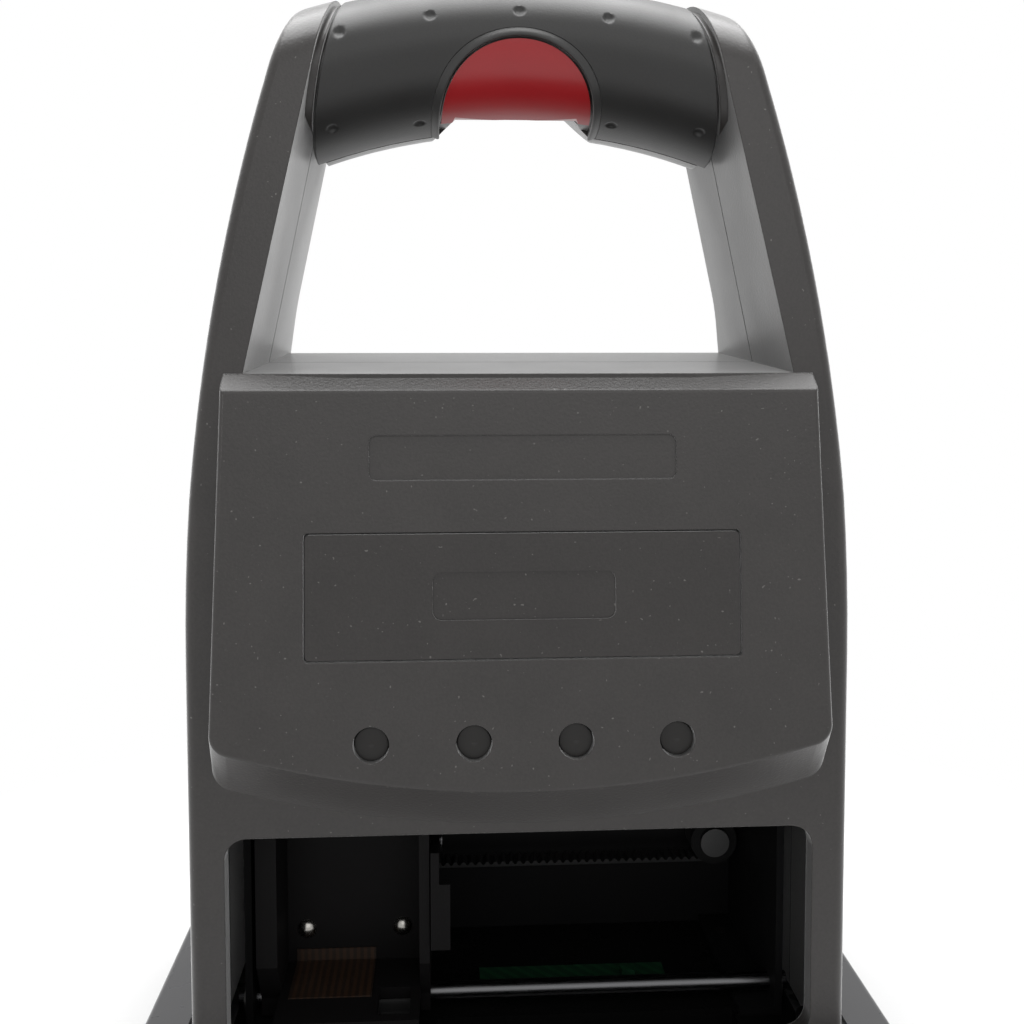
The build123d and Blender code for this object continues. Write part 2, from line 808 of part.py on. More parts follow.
def dimple_centre(x, lift):
    """A point on the grip's front at a distance along it and a lift above its arched axis."""
    drop = grip_arch_radius - sqrt(grip_arch_radius**2 - x**2)
    tall = grip_half_height * grip_arch_radius / sqrt(grip_arch_radius**2 - x**2)
    return (x, grip_y - grip_half_depth * sqrt(1 - (lift / tall) ** 2), grip_z - drop + lift)


dimple_ball = (dimple_radius**2 + dimple_depth**2) / (2 * dimple_depth)
with BuildPart() as grip_pad:
    add(grip_bar(0))
    add(grip_bar(grip_pad_thickness - seat_gap), mode=Mode.SUBTRACT)
    split(bisect_by=parting_front, keep=Keep.TOP)
    add(gap_prism(-collar_width - grip_groove), mode=Mode.INTERSECT)
    bezel_hole = arch_prism(trigger_radius + bezel_width + slide_gap, (arch_start, parting_y + seat_gap))
    add(bezel_hole, mode=Mode.SUBTRACT)
    add(relief, mode=Mode.SUBTRACT)
    for x, lift in dimple_places:
        x_at, y_at, z_at = dimple_centre(x, lift)
        along = Vector(0, (y_at - grip_y) / grip_half_depth**2, lift / grip_half_height**2).normalized()
        centre = Vector(x_at, y_at, z_at) + along * (dimple_ball - dimple_depth)
        with Locations(centre):
            Sphere(dimple_ball, mode=Mode.SUBTRACT)
save(grip_pad.part, "grip_pad")

# Trigger bezel: the raised arched rim round the trigger
with BuildPart() as trigger_bezel:
    add(grip_bar(-bezel_proud))
    add(grip_bar(grip_pad_thickness - seat_gap), mode=Mode.SUBTRACT)
    add(arch_prism(trigger_radius + bezel_width, (arch_start, arch_end)), mode=Mode.INTERSECT)
    add(arch_prism(trigger_radius, (arch_start, arch_end + seat_gap)), mode=Mode.SUBTRACT)
    add(relief, mode=Mode.SUBTRACT)
save(trigger_bezel.part, "trigger_bezel")

# Trigger: a shell that follows the grip, with two lugs on the pin and an arm toward the switch
lug_y0 = pin_y - lug_eye_radius
lug_y1 = pin_y + lug_eye_radius
lug_top_z = pin_z - lug_top_drop
lug_low_z = pin_z - lug_low_drop
with BuildPart() as trigger_lugs:
    for side in (-1, 1):
        with BuildSketch(Plane.YZ.offset(side * (lug_inner + lug_thickness / 2))):
            Polygon(
                (front_y, lug_top_z), (front_y, lug_low_z), (lug_y0, lug_low_z), (lug_y1, lug_top_z),
                (lug_y1, pin_z), (lug_y0, pin_z), (lug_y0, lug_top_z), align=None,
            )
            with Locations((pin_y, pin_z)):
                Circle(lug_eye_radius)
        extrude(amount=lug_thickness / 2, both=True)
    add(grip_bar(trigger_sink + trigger_wall / 2), mode=Mode.INTERSECT)
with BuildPart() as trigger:
    add(grip_bar(trigger_sink))
    add(grip_bar(trigger_sink + trigger_wall), mode=Mode.SUBTRACT)
    add(arch_prism(trigger_radius - panel_gap, (arch_start, arch_end)), mode=Mode.INTERSECT)
    add(relief, mode=Mode.SUBTRACT)
    add(trigger_lugs.part)
    slab(
        (-lug_outer, lug_outer), (pin_y - lug_eye_radius, pin_y + lug_eye_radius / 2),
        (switch_z - actuator_height / 2, switch_z + actuator_height / 2),
    )
    slab(
        (-actuator_half_width, actuator_half_width), (pin_y, pin_y + actuator_reach),
        (switch_z - actuator_height / 2, switch_z + actuator_height / 2),
    )
    eye_run = (-casing_half_width, casing_half_width)
    bar_x(trigger_pin_radius + slide_gap, eye_run, pin_y, pin_z, mode=Mode.SUBTRACT)
save(trigger.part, "trigger")

# Trigger pin and the switch that the trigger's arm presses
with BuildPart() as trigger_pin:
    bar_x(trigger_pin_radius, (-trigger_pin_half_length, trigger_pin_half_length), pin_y, pin_z)
save(trigger_pin.part, "trigger_pin")
with BuildPart() as trigger_switch:
    slab(
        (-switch_body_width / 2, switch_body_width / 2), (switch_front, switch_front + switch_body_depth),
        (switch_low + seat_gap, switch_low + switch_body_height),
    )
    bar_y(key_stem_radius, 0, (switch_front - switch_plunger, switch_front), switch_z)
save(trigger_switch.part, "trigger_switch")

# Cover plate: closes the opening in the console, flush with its face, with a shallow plain recess
with BuildPart() as cover_plate:
    with BuildSketch(face_plane(cover_thickness - seat_gap)):
        with Locations((0, face_v(cover_rise))):
            RectangleRounded(cover_width - 2 * panel_gap, cover_height - 2 * panel_gap, cover_corner)
    extrude(amount=cover_thickness - seat_gap)
    with BuildSketch(face_plane(0)):
        with Locations((0, face_v(cover_rise))):
            RectangleRounded(tag_recess_width, tag_recess_height, tag_recess_corner)
    extrude(amount=-tag_recess_depth, mode=Mode.SUBTRACT)
save(cover_plate.part, "cover_plate")

# Keys: domed discs in the console, each with a flange behind the wall and a stem to its switch
flange_front = console_wall + seat_gap
flange_back = flange_front + key_flange_thickness
stem_back = panel_depth - switch_height - switch_plunger - key_travel - part_gap / 2
dome_ball = (key_radius**2 + key_dome**2) / (2 * key_dome)
for number, place in enumerate(key_places, start=1):
    with BuildPart() as key:
        with BuildSketch(face_plane(flange_front)):
            with Locations(place):
                Circle(key_radius)
        extrude(amount=flange_front - key_sink)
        with Locations(face_plane(key_sink + dome_ball).location * Location(place)):
            Sphere(dome_ball, mode=Mode.INTERSECT)
        with BuildSketch(face_plane(flange_back)):
            with Locations(place):
                Circle(key_radius + key_flange)
        extrude(amount=key_flange_thickness)
        with BuildSketch(face_plane(stem_back)):
            with Locations(place):
                Circle(key_stem_radius)
        extrude(amount=stem_back - flange_back)
    save(key.part, f"key_{number}")

# Console board behind the keys, its four switches and its screws
with BuildPart() as panel_board:
    with BuildSketch(face_plane(panel_depth + board_thickness)):
        with Locations((0, face_v(key_rise))):
            RectangleRounded(panel_board_width, panel_board_height, cover_corner)
        with Locations(*board_boss_places):
            Circle(board_screw_radius + press_gap, mode=Mode.SUBTRACT)
    extrude(amount=board_thickness)
save(panel_board.part, "panel_board")

with BuildPart() as key_switches:
    with BuildSketch(face_plane(panel_depth)):
        with Locations(*key_places):
            Rectangle(switch_side, switch_side)
    extrude(amount=switch_height)
    with BuildSketch(face_plane(panel_depth - switch_height)):
        with Locations(*key_places):
            Circle(key_stem_radius)
    extrude(amount=switch_plunger)
save(key_switches.part, "key_switches")

with BuildPart() as main_board:
    slab(
        (-main_board_width / 2, main_board_width / 2), (main_board_y, main_board_back),
        (main_board_z - main_board_height / 2, main_board_z + main_board_height / 2),
    )
    chip_front = main_board_y - chip_height
    chip_z = (main_board_z, main_board_z + chip_side)
    slab((-chip_side / 2, chip_side / 2), (chip_front, main_board_y), chip_z)
    for side in (-1, 1):
        with Locations((side * chip_side, main_board_y, main_board_z - chip_side / 2)):
            Cylinder(
                capacitor_radius, capacitor_height, rotation=(90, 0, 0),
                align=(Align.CENTER, Align.CENTER, Align.MIN),
            )
    for x, z in board_places:
        bar_y(board_screw_radius + press_gap, x, (main_board_y, main_board_back), z, mode=Mode.SUBTRACT)
save(main_board.part, "main_board")

with BuildPart() as board_screws:
    with BuildSketch(face_plane(panel_depth + board_thickness)):
        with Locations(*board_boss_places):
            Circle(board_screw_head)
    extrude(amount=-board_screw_head)
    with BuildSketch(face_plane(panel_depth + board_thickness)):
        with Locations(*board_boss_places):
            Circle(board_screw_radius)
    extrude(amount=board_thickness + board_screw_bite)
    for x, z in board_places:
        bar_y(board_screw_head, x, (main_board_y - board_screw_head, main_board_y), z)
        bar_y(board_screw_radius, x, (main_board_y, main_board_back + board_screw_bite), z)
save(board_screws.part, "board_screws")

# Base plate: carries casing and mechanism, with the print slot and a groove for the seal
slot_x0 = carriage_x1 - nozzle_slot_width + print_slot_gap
fork_half = front_rod_radius + slide_gap + fork_wall
nozzle_y1 = front_rod_y - fork_half - nozzle_slot_back
nozzle_y0 = nozzle_y1 - nozzle_slot_length
nozzle_x1 = bay_x1 - nozzle_slot_side
nozzle_x0 = nozzle_x1 - nozzle_slot_width
slot_y = (nozzle_y0 + nozzle_y1) / 2
seal_outer = (2 * (casing_half_width + seal_width), casing_depth + 2 * seal_width)
seal_inner = (2 * (casing_half_width - seal_grip), casing_depth - 2 * seal_grip)
seal_round = casing_edge_round + seal_width
bracket_y0 = front_y + bracket_front
bracket_outer = bracket_half_span + sheet_thickness
bracket_screw_y = (bracket_y0 + chassis_flange, chassis_y - chassis_flange)
bracket_screw_x = bracket_half_span - chassis_flange / 2
chassis_screw_y = chassis_back + chassis_flange / 2
corner_screws = [(sx * base_boss_x, sy * base_boss_y) for sx in (-1, 1) for sy in (-1, 1)]
sheet_screws = [(side * bracket_screw_x, y) for side in (-1, 1) for y in bracket_screw_y]
sheet_screws += [(side * chassis_screw_x, chassis_screw_y) for side in (-1, 1)]
foot_x = base_width / 2 - foot_inset
foot_y = base_depth / 2 - foot_inset
foot_places = [(sx * foot_x, sy * foot_y) for sx in (-1, 1) for sy in (-1, 1)]
with BuildPart() as base_plate:
    with BuildSketch(Plane.XY.offset(foot_height)):
        RectangleRounded(base_width, base_depth, base_corner)
    extrude(amount=base_thickness)
    fillet(base_plate.faces().sort_by(Axis.Z)[-1].edges(), radius=base_edge_round)
    with BuildSketch(Plane.XY.offset(plate_top)):
        RectangleRounded(seal_outer[0] + 2 * slide_gap, seal_outer[1] + 2 * slide_gap, seal_round)
        Rectangle(seal_inner[0] - 2 * slide_gap, seal_inner[1] - 2 * slide_gap, mode=Mode.SUBTRACT)
    extrude(amount=-(seal_thickness + seal_drop), mode=Mode.SUBTRACT)
    with BuildSketch(Plane.XY.offset(plate_top)):
        with Locations((slot_x0 + print_slot_length / 2, slot_y)):
            RectangleRounded(print_slot_length, print_slot_width, cover_corner)
    extrude(amount=-base_thickness, mode=Mode.SUBTRACT)
    for x, y in foot_places:
        bar_z(foot_radius + slide_gap, x, y, (foot_height, foot_height + foot_sink), mode=Mode.SUBTRACT)
    for x, y in corner_screws + sheet_screws:
        bar_z(screw_radius + slide_gap, x, y, (foot_height, plate_top), mode=Mode.SUBTRACT)
        head_room = (foot_height, foot_height + screw_head_height)
        bar_z(screw_head_radius + part_gap, x, y, head_room, mode=Mode.SUBTRACT)
save(base_plate.part, "base_plate")

with BuildPart() as base_seal:
    with BuildSketch(Plane.XY.offset(casing_bottom)):
        RectangleRounded(*seal_outer, seal_round)
        Rectangle(*seal_inner, mode=Mode.SUBTRACT)
    extrude(amount=-seal_thickness)
    for x, y in corner_screws:
        bar_z(screw_radius + part_gap, x, y, (foot_height, plate_top), mode=Mode.SUBTRACT)
save(base_seal.part, "base_seal")

with BuildPart() as rubber_feet:
    for x, y in foot_places:
        bar_z(foot_radius, x, y, (0, foot_height + foot_sink - seat_gap))
    fillet(rubber_feet.faces().group_by(Axis.Z)[0].edges(), radius=foot_round)
save(rubber_feet.part, "rubber_feet")

with BuildPart() as base_screws:
    head_z = foot_height + screw_head_height
    for x, y in corner_screws:
        bar_z(screw_head_radius, x, y, (foot_height + part_gap, head_z))
        bar_z(screw_radius, x, y, (head_z, plate_top + base_screw_length))
    for x, y in sheet_screws:
        bar_z(screw_head_radius, x, y, (foot_height + part_gap, head_z))
        bar_z(screw_radius, x, y, (head_z, plate_top + sheet_thickness))
save(base_screws.part, "base_screws")

# Steel chassis: an upright sheet with a foot, and two brackets that carry the rods
strip_z = plate_top + strip_rise
with BuildPart() as chassis_plate:
    chassis_x = (-bracket_half_span, bracket_half_span)
    slab(chassis_x, (chassis_y, chassis_back), (plate_top, plate_top + chassis_rise))
    chassis_foot_z = (plate_top, plate_top + sheet_thickness)
    slab(chassis_x, (chassis_back, chassis_back + chassis_flange), chassis_foot_z)
    bar_y(motor_pilot_radius + slide_gap, motor_x, (chassis_y, chassis_back), pulley_z, mode=Mode.SUBTRACT)
    bar_y(idler_axle_radius + press_gap, idler_x, (chassis_y, chassis_back), pulley_z, mode=Mode.SUBTRACT)
    for side in (-1, 1):
        place_z = pulley_z + side * motor_screw_spread
        bar_y(board_screw_radius + slide_gap, motor_x, (chassis_y, chassis_back), place_z, mode=Mode.SUBTRACT)
        hole = (plate_top, plate_top + sheet_thickness)
        bar_z(screw_radius + press_gap, side * chassis_screw_x, chassis_screw_y, hole, mode=Mode.SUBTRACT)
save(chassis_plate.part, "chassis_plate")

for side, name in ((-1, "left_bracket"), (1, "right_bracket")):
    span = sorted((side * bracket_half_span, side * bracket_outer))
    foot_span = sorted((side * (bracket_half_span - chassis_flange), side * bracket_outer))
    with BuildPart() as bracket:
        slab(span, (bracket_y0, chassis_y), (plate_top, plate_top + chassis_rise))
        slab(foot_span, (bracket_y0, chassis_y), (plate_top, plate_top + sheet_thickness))
        bar_x(rear_rod_radius + press_gap, span, rear_rod_y, rear_rod_z, mode=Mode.SUBTRACT)
        bar_x(front_rod_radius + press_gap, span, front_rod_y, front_rod_z, mode=Mode.SUBTRACT)
        slab(
            span, (strip_y - strip_thickness / 2 - slide_gap, strip_y + strip_thickness / 2 + slide_gap),
            (strip_z - slide_gap, strip_z + strip_height + slide_gap), mode=Mode.SUBTRACT,
        )
        for y in bracket_screw_y:
            hole = (plate_top, plate_top + sheet_thickness)
            bar_z(screw_radius + press_gap, side * bracket_screw_x, y, hole, mode=Mode.SUBTRACT)
    save(bracket.part, name)

# Guide rods, their clips and the encoder strip between the brackets
rod_end = bracket_outer + rod_overhang
groove_x = bracket_outer + slide_gap
rods = (
    ("rear_guide_rod", rear_rod_radius, rear_rod_y, rear_rod_z),
    ("front_guide_rod", front_rod_radius, front_rod_y, front_rod_z),
)
for name, radius, y, z in rods:
    with BuildPart() as rod:
        bar_x(radius, (-rod_end, rod_end), y, z)
        for side in (-1, 1):
            groove = sorted((side * groove_x, side * (groove_x + clip_thickness + 2 * slide_gap)))
            bar_x(radius, groove, y, z, mode=Mode.SUBTRACT)
            bar_x(radius - clip_groove, groove, y, z)
    save(rod.part, name)

with BuildPart() as rod_clips:
    for name, radius, y, z in rods:
        for side in (-1, 1):
            span = sorted((side * (groove_x + slide_gap), side * (groove_x + slide_gap + clip_thickness)))
            bar_x(radius + clip_radius_extra, span, y, z)
            bar_x(radius - clip_groove + slide_gap, span, y, z, mode=Mode.SUBTRACT)
            mouth = (radius - clip_groove) * clip_mouth
            slab(span, (y - mouth, y + mouth), (z, z + radius + clip_radius_extra), mode=Mode.SUBTRACT)
save(rod_clips.part, "rod_clips")

with BuildPart() as encoder_strip:
    slab(
        (-bracket_outer, bracket_outer), (strip_y - strip_thickness / 2, strip_y + strip_thickness / 2),
        (strip_z, strip_z + strip_height),
    )
save(encoder_strip.part, "encoder_strip")

# Carriage: two walls, a back and a floor round the cartridge bay, riding on both rods
floor_low = plate_top + carriage_floor_rise
bush_radius = rear_rod_radius + slide_gap + bush_wall
boss_radius = bush_radius + boss_wall
boss_spans = ((carriage_x0, carriage_x0 + bush_length), (carriage_x1 - bush_length, carriage_x1))
jaw_x = (carriage_x0 + clamp_offset, carriage_x0 + clamp_offset + clamp_width)
belt_top_low = pulley_z + belt_inner
belt_top_high = pulley_z + belt_outer
jaw_z = (belt_top_low - part_gap - clamp_height, belt_top_low - part_gap)
clamp_low = belt_top_high + part_gap
clamp_top = clamp_low + clamp_height
post_y = belt_y0 - part_gap
clamp_screw_y = (carriage_back + post_y) / 2
clamp_screw_xs = (jaw_x[0] + clamp_width / 4, jaw_x[1] - clamp_width / 4)
latch_z = plate_top + latch_pin_rise
screw_xs = [(bay_x0 + bay_x1) / 2 + side * contact_screw_spread / 2 for side in (-1, 1)]
contact_z = plate_top + contact_screw_rise
with BuildPart() as carriage:
    fork_y = (front_rod_y - fork_half, front_rod_y + fork_half)
    for span in ((carriage_x0, bay_x0), (bay_x1, carriage_x1)):
        with BuildSketch(Plane.YZ.offset(span[0])):
            wall_end = plate_top + carriage_wall_end_rise
            Polygon(
                (carriage_y0, carriage_top), (carriage_y0, wall_end), (fork_y[0], floor_low),
                (carriage_back, floor_low), (carriage_back, carriage_top), align=None,
            )
        extrude(amount=span[1] - span[0])
        slab(span, fork_y, (front_rod_z - front_rod_radius, floor_low))
        slot = (front_rod_y - front_rod_radius - slide_gap, front_rod_y + front_rod_radius + slide_gap)
        slab(span, slot, (front_rod_z - fork_half, front_rod_z), mode=Mode.SUBTRACT)
        bar_x(front_rod_radius + slide_gap, span, front_rod_y, front_rod_z, mode=Mode.SUBTRACT)
    slab((bay_x0, bay_x1), (back_y0, carriage_back), (floor_low, carriage_top))
    slab((bay_x0, bay_x1), (back_y0 - carriage_floor_front, back_y0), (floor_low, floor_top))
    slab((nozzle_x0, nozzle_x1), (nozzle_y0, nozzle_y1), (floor_low, floor_top), mode=Mode.SUBTRACT)
    for span in boss_spans:
        slab(span, (carriage_back, rear_rod_y), (rear_rod_z - boss_radius, rear_rod_z + boss_radius))
        bar_x(boss_radius, span, rear_rod_y, rear_rod_z)
        bar_x(bush_radius + press_gap, span, rear_rod_y, rear_rod_z, mode=Mode.SUBTRACT)
    slab(jaw_x, (carriage_back, belt_y1), jaw_z)
    slab(jaw_x, (carriage_back, post_y), (jaw_z[0], clamp_low))
    for x in clamp_screw_xs:
        bar_z(board_screw_radius + press_gap, x, clamp_screw_y, (jaw_z[0], clamp_low), mode=Mode.SUBTRACT)
    bar_x(front_rod_radius + part_gap, (bay_x0, bay_x1), front_rod_y, front_rod_z, mode=Mode.SUBTRACT)
    for x in screw_xs:
        bar_y(board_screw_radius + press_gap, x, (back_y0, carriage_back), contact_z, mode=Mode.SUBTRACT)
    bar_x(latch_pin_radius + press_gap, (bay_x1, carriage_x1), latch_pin_y, latch_z, mode=Mode.SUBTRACT)
save(carriage.part, "carriage")

with BuildPart() as carriage_bushes:
    for span in boss_spans:
        bar_x(bush_radius, span, rear_rod_y, rear_rod_z)
        bar_x(rear_rod_radius + slide_gap, span, rear_rod_y, rear_rod_z, mode=Mode.SUBTRACT)
save(carriage_bushes.part, "carriage_bushes")

with BuildPart() as belt_clamp:
    slab(jaw_x, (carriage_back, belt_y1), (clamp_low, clamp_top))
    for x in clamp_screw_xs:
        bar_z(board_screw_radius + press_gap, x, clamp_screw_y, (clamp_low, clamp_top), mode=Mode.SUBTRACT)
save(belt_clamp.part, "belt_clamp")

with BuildPart() as clamp_screws:
    for x in clamp_screw_xs:
        bar_z(board_screw_radius, x, clamp_screw_y, (jaw_z[0], clamp_top))
        bar_z(board_screw_head, x, clamp_screw_y, (clamp_top, clamp_top + board_screw_radius))
save(clamp_screws.part, "clamp_screws")

with BuildPart() as contact_flex:
    flex_x = (bay_x0 + flex_side, bay_x0 + flex_side + flex_width)
    slab(flex_x, (back_y0 - flex_run, back_y0), (floor_top, floor_top + flex_thickness))
    slab(flex_x, (back_y0 - flex_thickness, back_y0), (floor_top, floor_top + flex_rise))
save(contact_flex.part, "contact_flex")

with BuildPart() as contact_screws:
    head_ball = (contact_screw_radius**2 + contact_screw_dome**2) / (2 * contact_screw_dome)
    for x in screw_xs:
        bar_y(board_screw_radius, x, (back_y0, carriage_back), contact_z)
        bar_y(contact_screw_radius, x, (back_y0 - contact_screw_dome, back_y0), contact_z)
    with Locations(*[(x, back_y0 - contact_screw_dome + head_ball, contact_z) for x in screw_xs]):
        Sphere(head_ball, mode=Mode.INTERSECT)
save(contact_screws.part, "contact_screws")

# Latch lever on the carriage's right wall, and the pin it swings on
latch_x = (carriage_x1 + part_gap, carriage_x1 + part_gap + latch_thickness)
latch_tip_y = latch_pin_y - latch_arm
latch_eye = latch_height / 2
with BuildPart() as latch_lever:
    with BuildSketch(Plane.YZ.offset(latch_x[0])):
        Polygon(
            (latch_pin_y, latch_z + latch_eye), (latch_tip_y, latch_z + latch_eye),
            (latch_tip_y, latch_z - latch_drop), (latch_tip_y + latch_throat, latch_z - latch_drop),
            (latch_tip_y + latch_throat, latch_z - latch_eye), (latch_pin_y, latch_z - latch_eye), align=None,
        )
        with Locations((latch_pin_y, latch_z)):
            Circle(latch_eye)
            Circle(latch_pin_radius + slide_gap, mode=Mode.SUBTRACT)
    extrude(amount=latch_thickness)
    slab(
        (latch_x[0], latch_x[1] + latch_tab), (latch_tip_y, latch_tip_y + latch_thickness),
        (latch_z - latch_drop, latch_z - latch_eye),
    )
save(latch_lever.part, "latch_lever")

with BuildPart() as latch_pin:
    bar_x(latch_pin_radius, (bay_x1, latch_x[1] + part_gap), latch_pin_y, latch_z)
    bar_x(latch_eye - part_gap, (latch_x[1] + part_gap, latch_x[1] + 2 * part_gap), latch_pin_y, latch_z)
save(latch_pin.part, "latch_pin")

# Drive motor behind the chassis plate, with its shaft and screws
shaft_front = belt_y0 - part_gap - pulley_flange_thickness
motor_back = back_y - casing_wall - motor_back_gap
shaft_bore = motor_shaft_radius + slide_gap
with BuildPart() as drive_motor:
    bar_y(motor_radius, motor_x, (chassis_back, motor_back), pulley_z)
    fillet(drive_motor.faces().sort_by(Axis.Y)[-1].edges(), radius=motor_edge_round)
    bar_y(motor_pilot_radius, motor_x, (chassis_y, chassis_back), pulley_z)
    bar_y(shaft_bore, motor_x, (chassis_y, motor_back - motor_end_wall), pulley_z, mode=Mode.SUBTRACT)
    for side in (-1, 1):
        hole = (chassis_back, chassis_back + board_screw_bite)
        place_z = pulley_z + side * motor_screw_spread
        bar_y(board_screw_radius + press_gap, motor_x, hole, place_z, mode=Mode.SUBTRACT)
save(drive_motor.part, "drive_motor")

with BuildPart() as motor_shaft:
    shaft_run = (shaft_front, motor_back - motor_end_wall - motor_shaft_room)
    bar_y(motor_shaft_radius, motor_x, shaft_run, pulley_z)
save(motor_shaft.part, "motor_shaft")

with BuildPart() as motor_screws:
    for side in (-1, 1):
        place_z = pulley_z + side * motor_screw_spread
        bar_y(board_screw_radius, motor_x, (chassis_y, chassis_back + board_screw_bite), place_z)
        bar_y(board_screw_head, motor_x, (chassis_y - board_screw_radius, chassis_y), place_z)
save(motor_screws.part, "motor_screws")

# Flanged pulleys, the idler's axle and the belt round both
pulley_y0 = belt_y0 - part_gap
pulley_y1 = belt_y1 + part_gap
pulleys = (
    ("motor_pulley", motor_x, motor_shaft_radius + press_gap),
    ("idler_pulley", idler_x, idler_axle_radius + slide_gap),
)
for name, x, bore in pulleys:
    with BuildPart() as pulley:
        bar_y(pulley_radius, x, (pulley_y0, pulley_y1), pulley_z)
        bar_y(pulley_radius + pulley_flange, x, (pulley_y0 - pulley_flange_thickness, pulley_y0), pulley_z)
        bar_y(pulley_radius + pulley_flange, x, (pulley_y1, pulley_y1 + pulley_flange_thickness), pulley_z)
        bar_y(bore, x, (pulley_y0 - cut_margin, pulley_y1 + cut_margin), pulley_z, mode=Mode.SUBTRACT)
    save(pulley.part, name)

with BuildPart() as idler_axle:
    idler_head_y = shaft_front - part_gap
    bar_y(idler_axle_radius, idler_x, (idler_head_y, chassis_back), pulley_z)
    bar_y(idler_head_radius, idler_x, (idler_head_y - idler_head_height, idler_head_y), pulley_z)
    idler_step_y = pulley_y1 + pulley_flange_thickness + part_gap
    bar_y(idler_head_radius, idler_x, (idler_step_y, chassis_y), pulley_z)
save(idler_axle.part, "idler_axle")

with BuildPart() as timing_belt:
    with BuildSketch(Plane(origin=(0, belt_y1, pulley_z), x_dir=(1, 0, 0), z_dir=(0, -1, 0))):
        with Locations(((motor_x + idler_x) / 2, 0)):
            SlotCenterToCenter(idler_x - motor_x, 2 * belt_outer)
            SlotCenterToCenter(idler_x - motor_x, 2 * belt_inner, mode=Mode.SUBTRACT)
    extrude(amount=belt_width)
save(timing_belt.part, "timing_belt")

# Parking cap under the nozzle slot, and the board with the edge sensor
cap_mid_x = (nozzle_x0 + nozzle_x1) / 2
cap_half_x = nozzle_slot_width / 2 + cap_margin
cap_half_y = nozzle_slot_length / 2 + cap_margin
cap_top = floor_low - cap_height_gap
with BuildPart() as parking_cap:
    slab(
        (cap_mid_x - cap_half_x, cap_mid_x + cap_half_x), (slot_y - cap_half_y, slot_y + cap_half_y),
        (plate_top, cap_top),
    )
    slab(
        (cap_mid_x - cap_half_x + cap_wall, cap_mid_x + cap_half_x - cap_wall),
        (slot_y - cap_half_y + cap_wall, slot_y + cap_half_y - cap_wall), (cap_top - cap_well, cap_top),
        mode=Mode.SUBTRACT,
    )
save(parking_cap.part, "parking_cap")

with BuildPart() as sensor_board:
    board_top = plate_top + board_thickness
    slab(
        (sensor_board_x - sensor_board_length / 2, sensor_board_x + sensor_board_length / 2),
        (sensor_board_y - sensor_board_width / 2, sensor_board_y + sensor_board_width / 2),
        (plate_top, board_top),
    )
    slab(
        (sensor_x - sensor_side / 2, sensor_x + sensor_side / 2),
        (sensor_board_y - sensor_side / 2, sensor_board_y + sensor_side / 2),
        (board_top, board_top + sensor_height),
    )
save(sensor_board.part, "sensor_board")

# Battery in its bay and the door over it
with BuildPart() as battery_pack:
    slab(
        (battery_x - battery_width / 2, battery_x + battery_width / 2),
        (bay_front, bay_front + battery_thickness),
        (bay_mid_z - battery_height / 2, bay_mid_z + battery_height / 2),
    )
    fillet(battery_pack.edges().filter_by(Axis.Y), radius=battery_round)
save(battery_pack.part, "battery_pack")

with BuildPart() as battery_door:
    slab(
        (door_x[0] + panel_gap, door_x[1] - panel_gap), (bay_back + seat_gap, back_y),
        (door_z[0] + panel_gap, door_z[1] - panel_gap),
    )
    for step in range(3):
        groove_z = door_z[1] - (step + 2) * 2 * door_groove
        slab(
            (battery_x - door_grip_width / 2, battery_x + door_grip_width / 2),
            (back_y - door_groove_depth, back_y),
            (groove_z - door_groove / 2, groove_z + door_groove / 2), mode=Mode.SUBTRACT,
        )
save(battery_door.part, "battery_door")

# Sockets in the back wall
with BuildPart() as power_socket:
    socket_front = back_y - power_socket_length
    bar_y(power_socket_radius, power_socket_x, (socket_front, back_y), socket_z)
    bore_run = (socket_front + socket_floor, back_y)
    bar_y(power_socket_bore, power_socket_x, bore_run, socket_z, mode=Mode.SUBTRACT)
    bar_y(power_pin_radius, power_socket_x, (socket_front, back_y - socket_floor), socket_z)
save(power_socket.part, "power_socket")

with BuildPart() as interface_socket:
    jack_front = back_y - interface_depth
    with Locations((interface_socket_x, back_y, socket_z)):
        Box(interface_width, 2 * interface_depth, interface_height)
        Box(
            interface_width - 2 * interface_wall, 2 * (interface_depth - interface_wall),
            interface_height - 2 * interface_wall, mode=Mode.SUBTRACT,
        )
    with Locations((interface_socket_x, back_y - interface_wall, socket_z + interface_tongue_lift)):
        Box(interface_width / 2, 2 * (interface_depth - interface_wall), interface_tongue)
    socket_x = (interface_socket_x - interface_width, interface_socket_x + interface_width)
    socket_high = (socket_z - interface_height, socket_z + interface_height)
    slab(socket_x, (jack_front, back_y), socket_high, mode=Mode.INTERSECT)
save(interface_socket.part, "interface_socket")

# Long screws that draw the rear shell onto the front shell
with BuildPart() as housing_screws:
    for x, z in casing_screw_places:
        bar_y(screw_radius, x, (casing_seat_y - casing_screw_length, casing_seat_y), z)
        bar_y(screw_head_radius, x, (casing_seat_y, casing_seat_y + screw_head_height), z)
save(housing_screws.part, "housing_screws")
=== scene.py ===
"""Handheld inkjet printer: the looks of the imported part, in metres, in the part's own frame.

+X is to the right seen from the front, +Y runs to the back and +Z is up.
"""
from math import acos, atan, atan2, cos, hypot, pi, radians, sin

import bmesh
import bpy
import numpy as np
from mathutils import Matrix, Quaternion, Vector


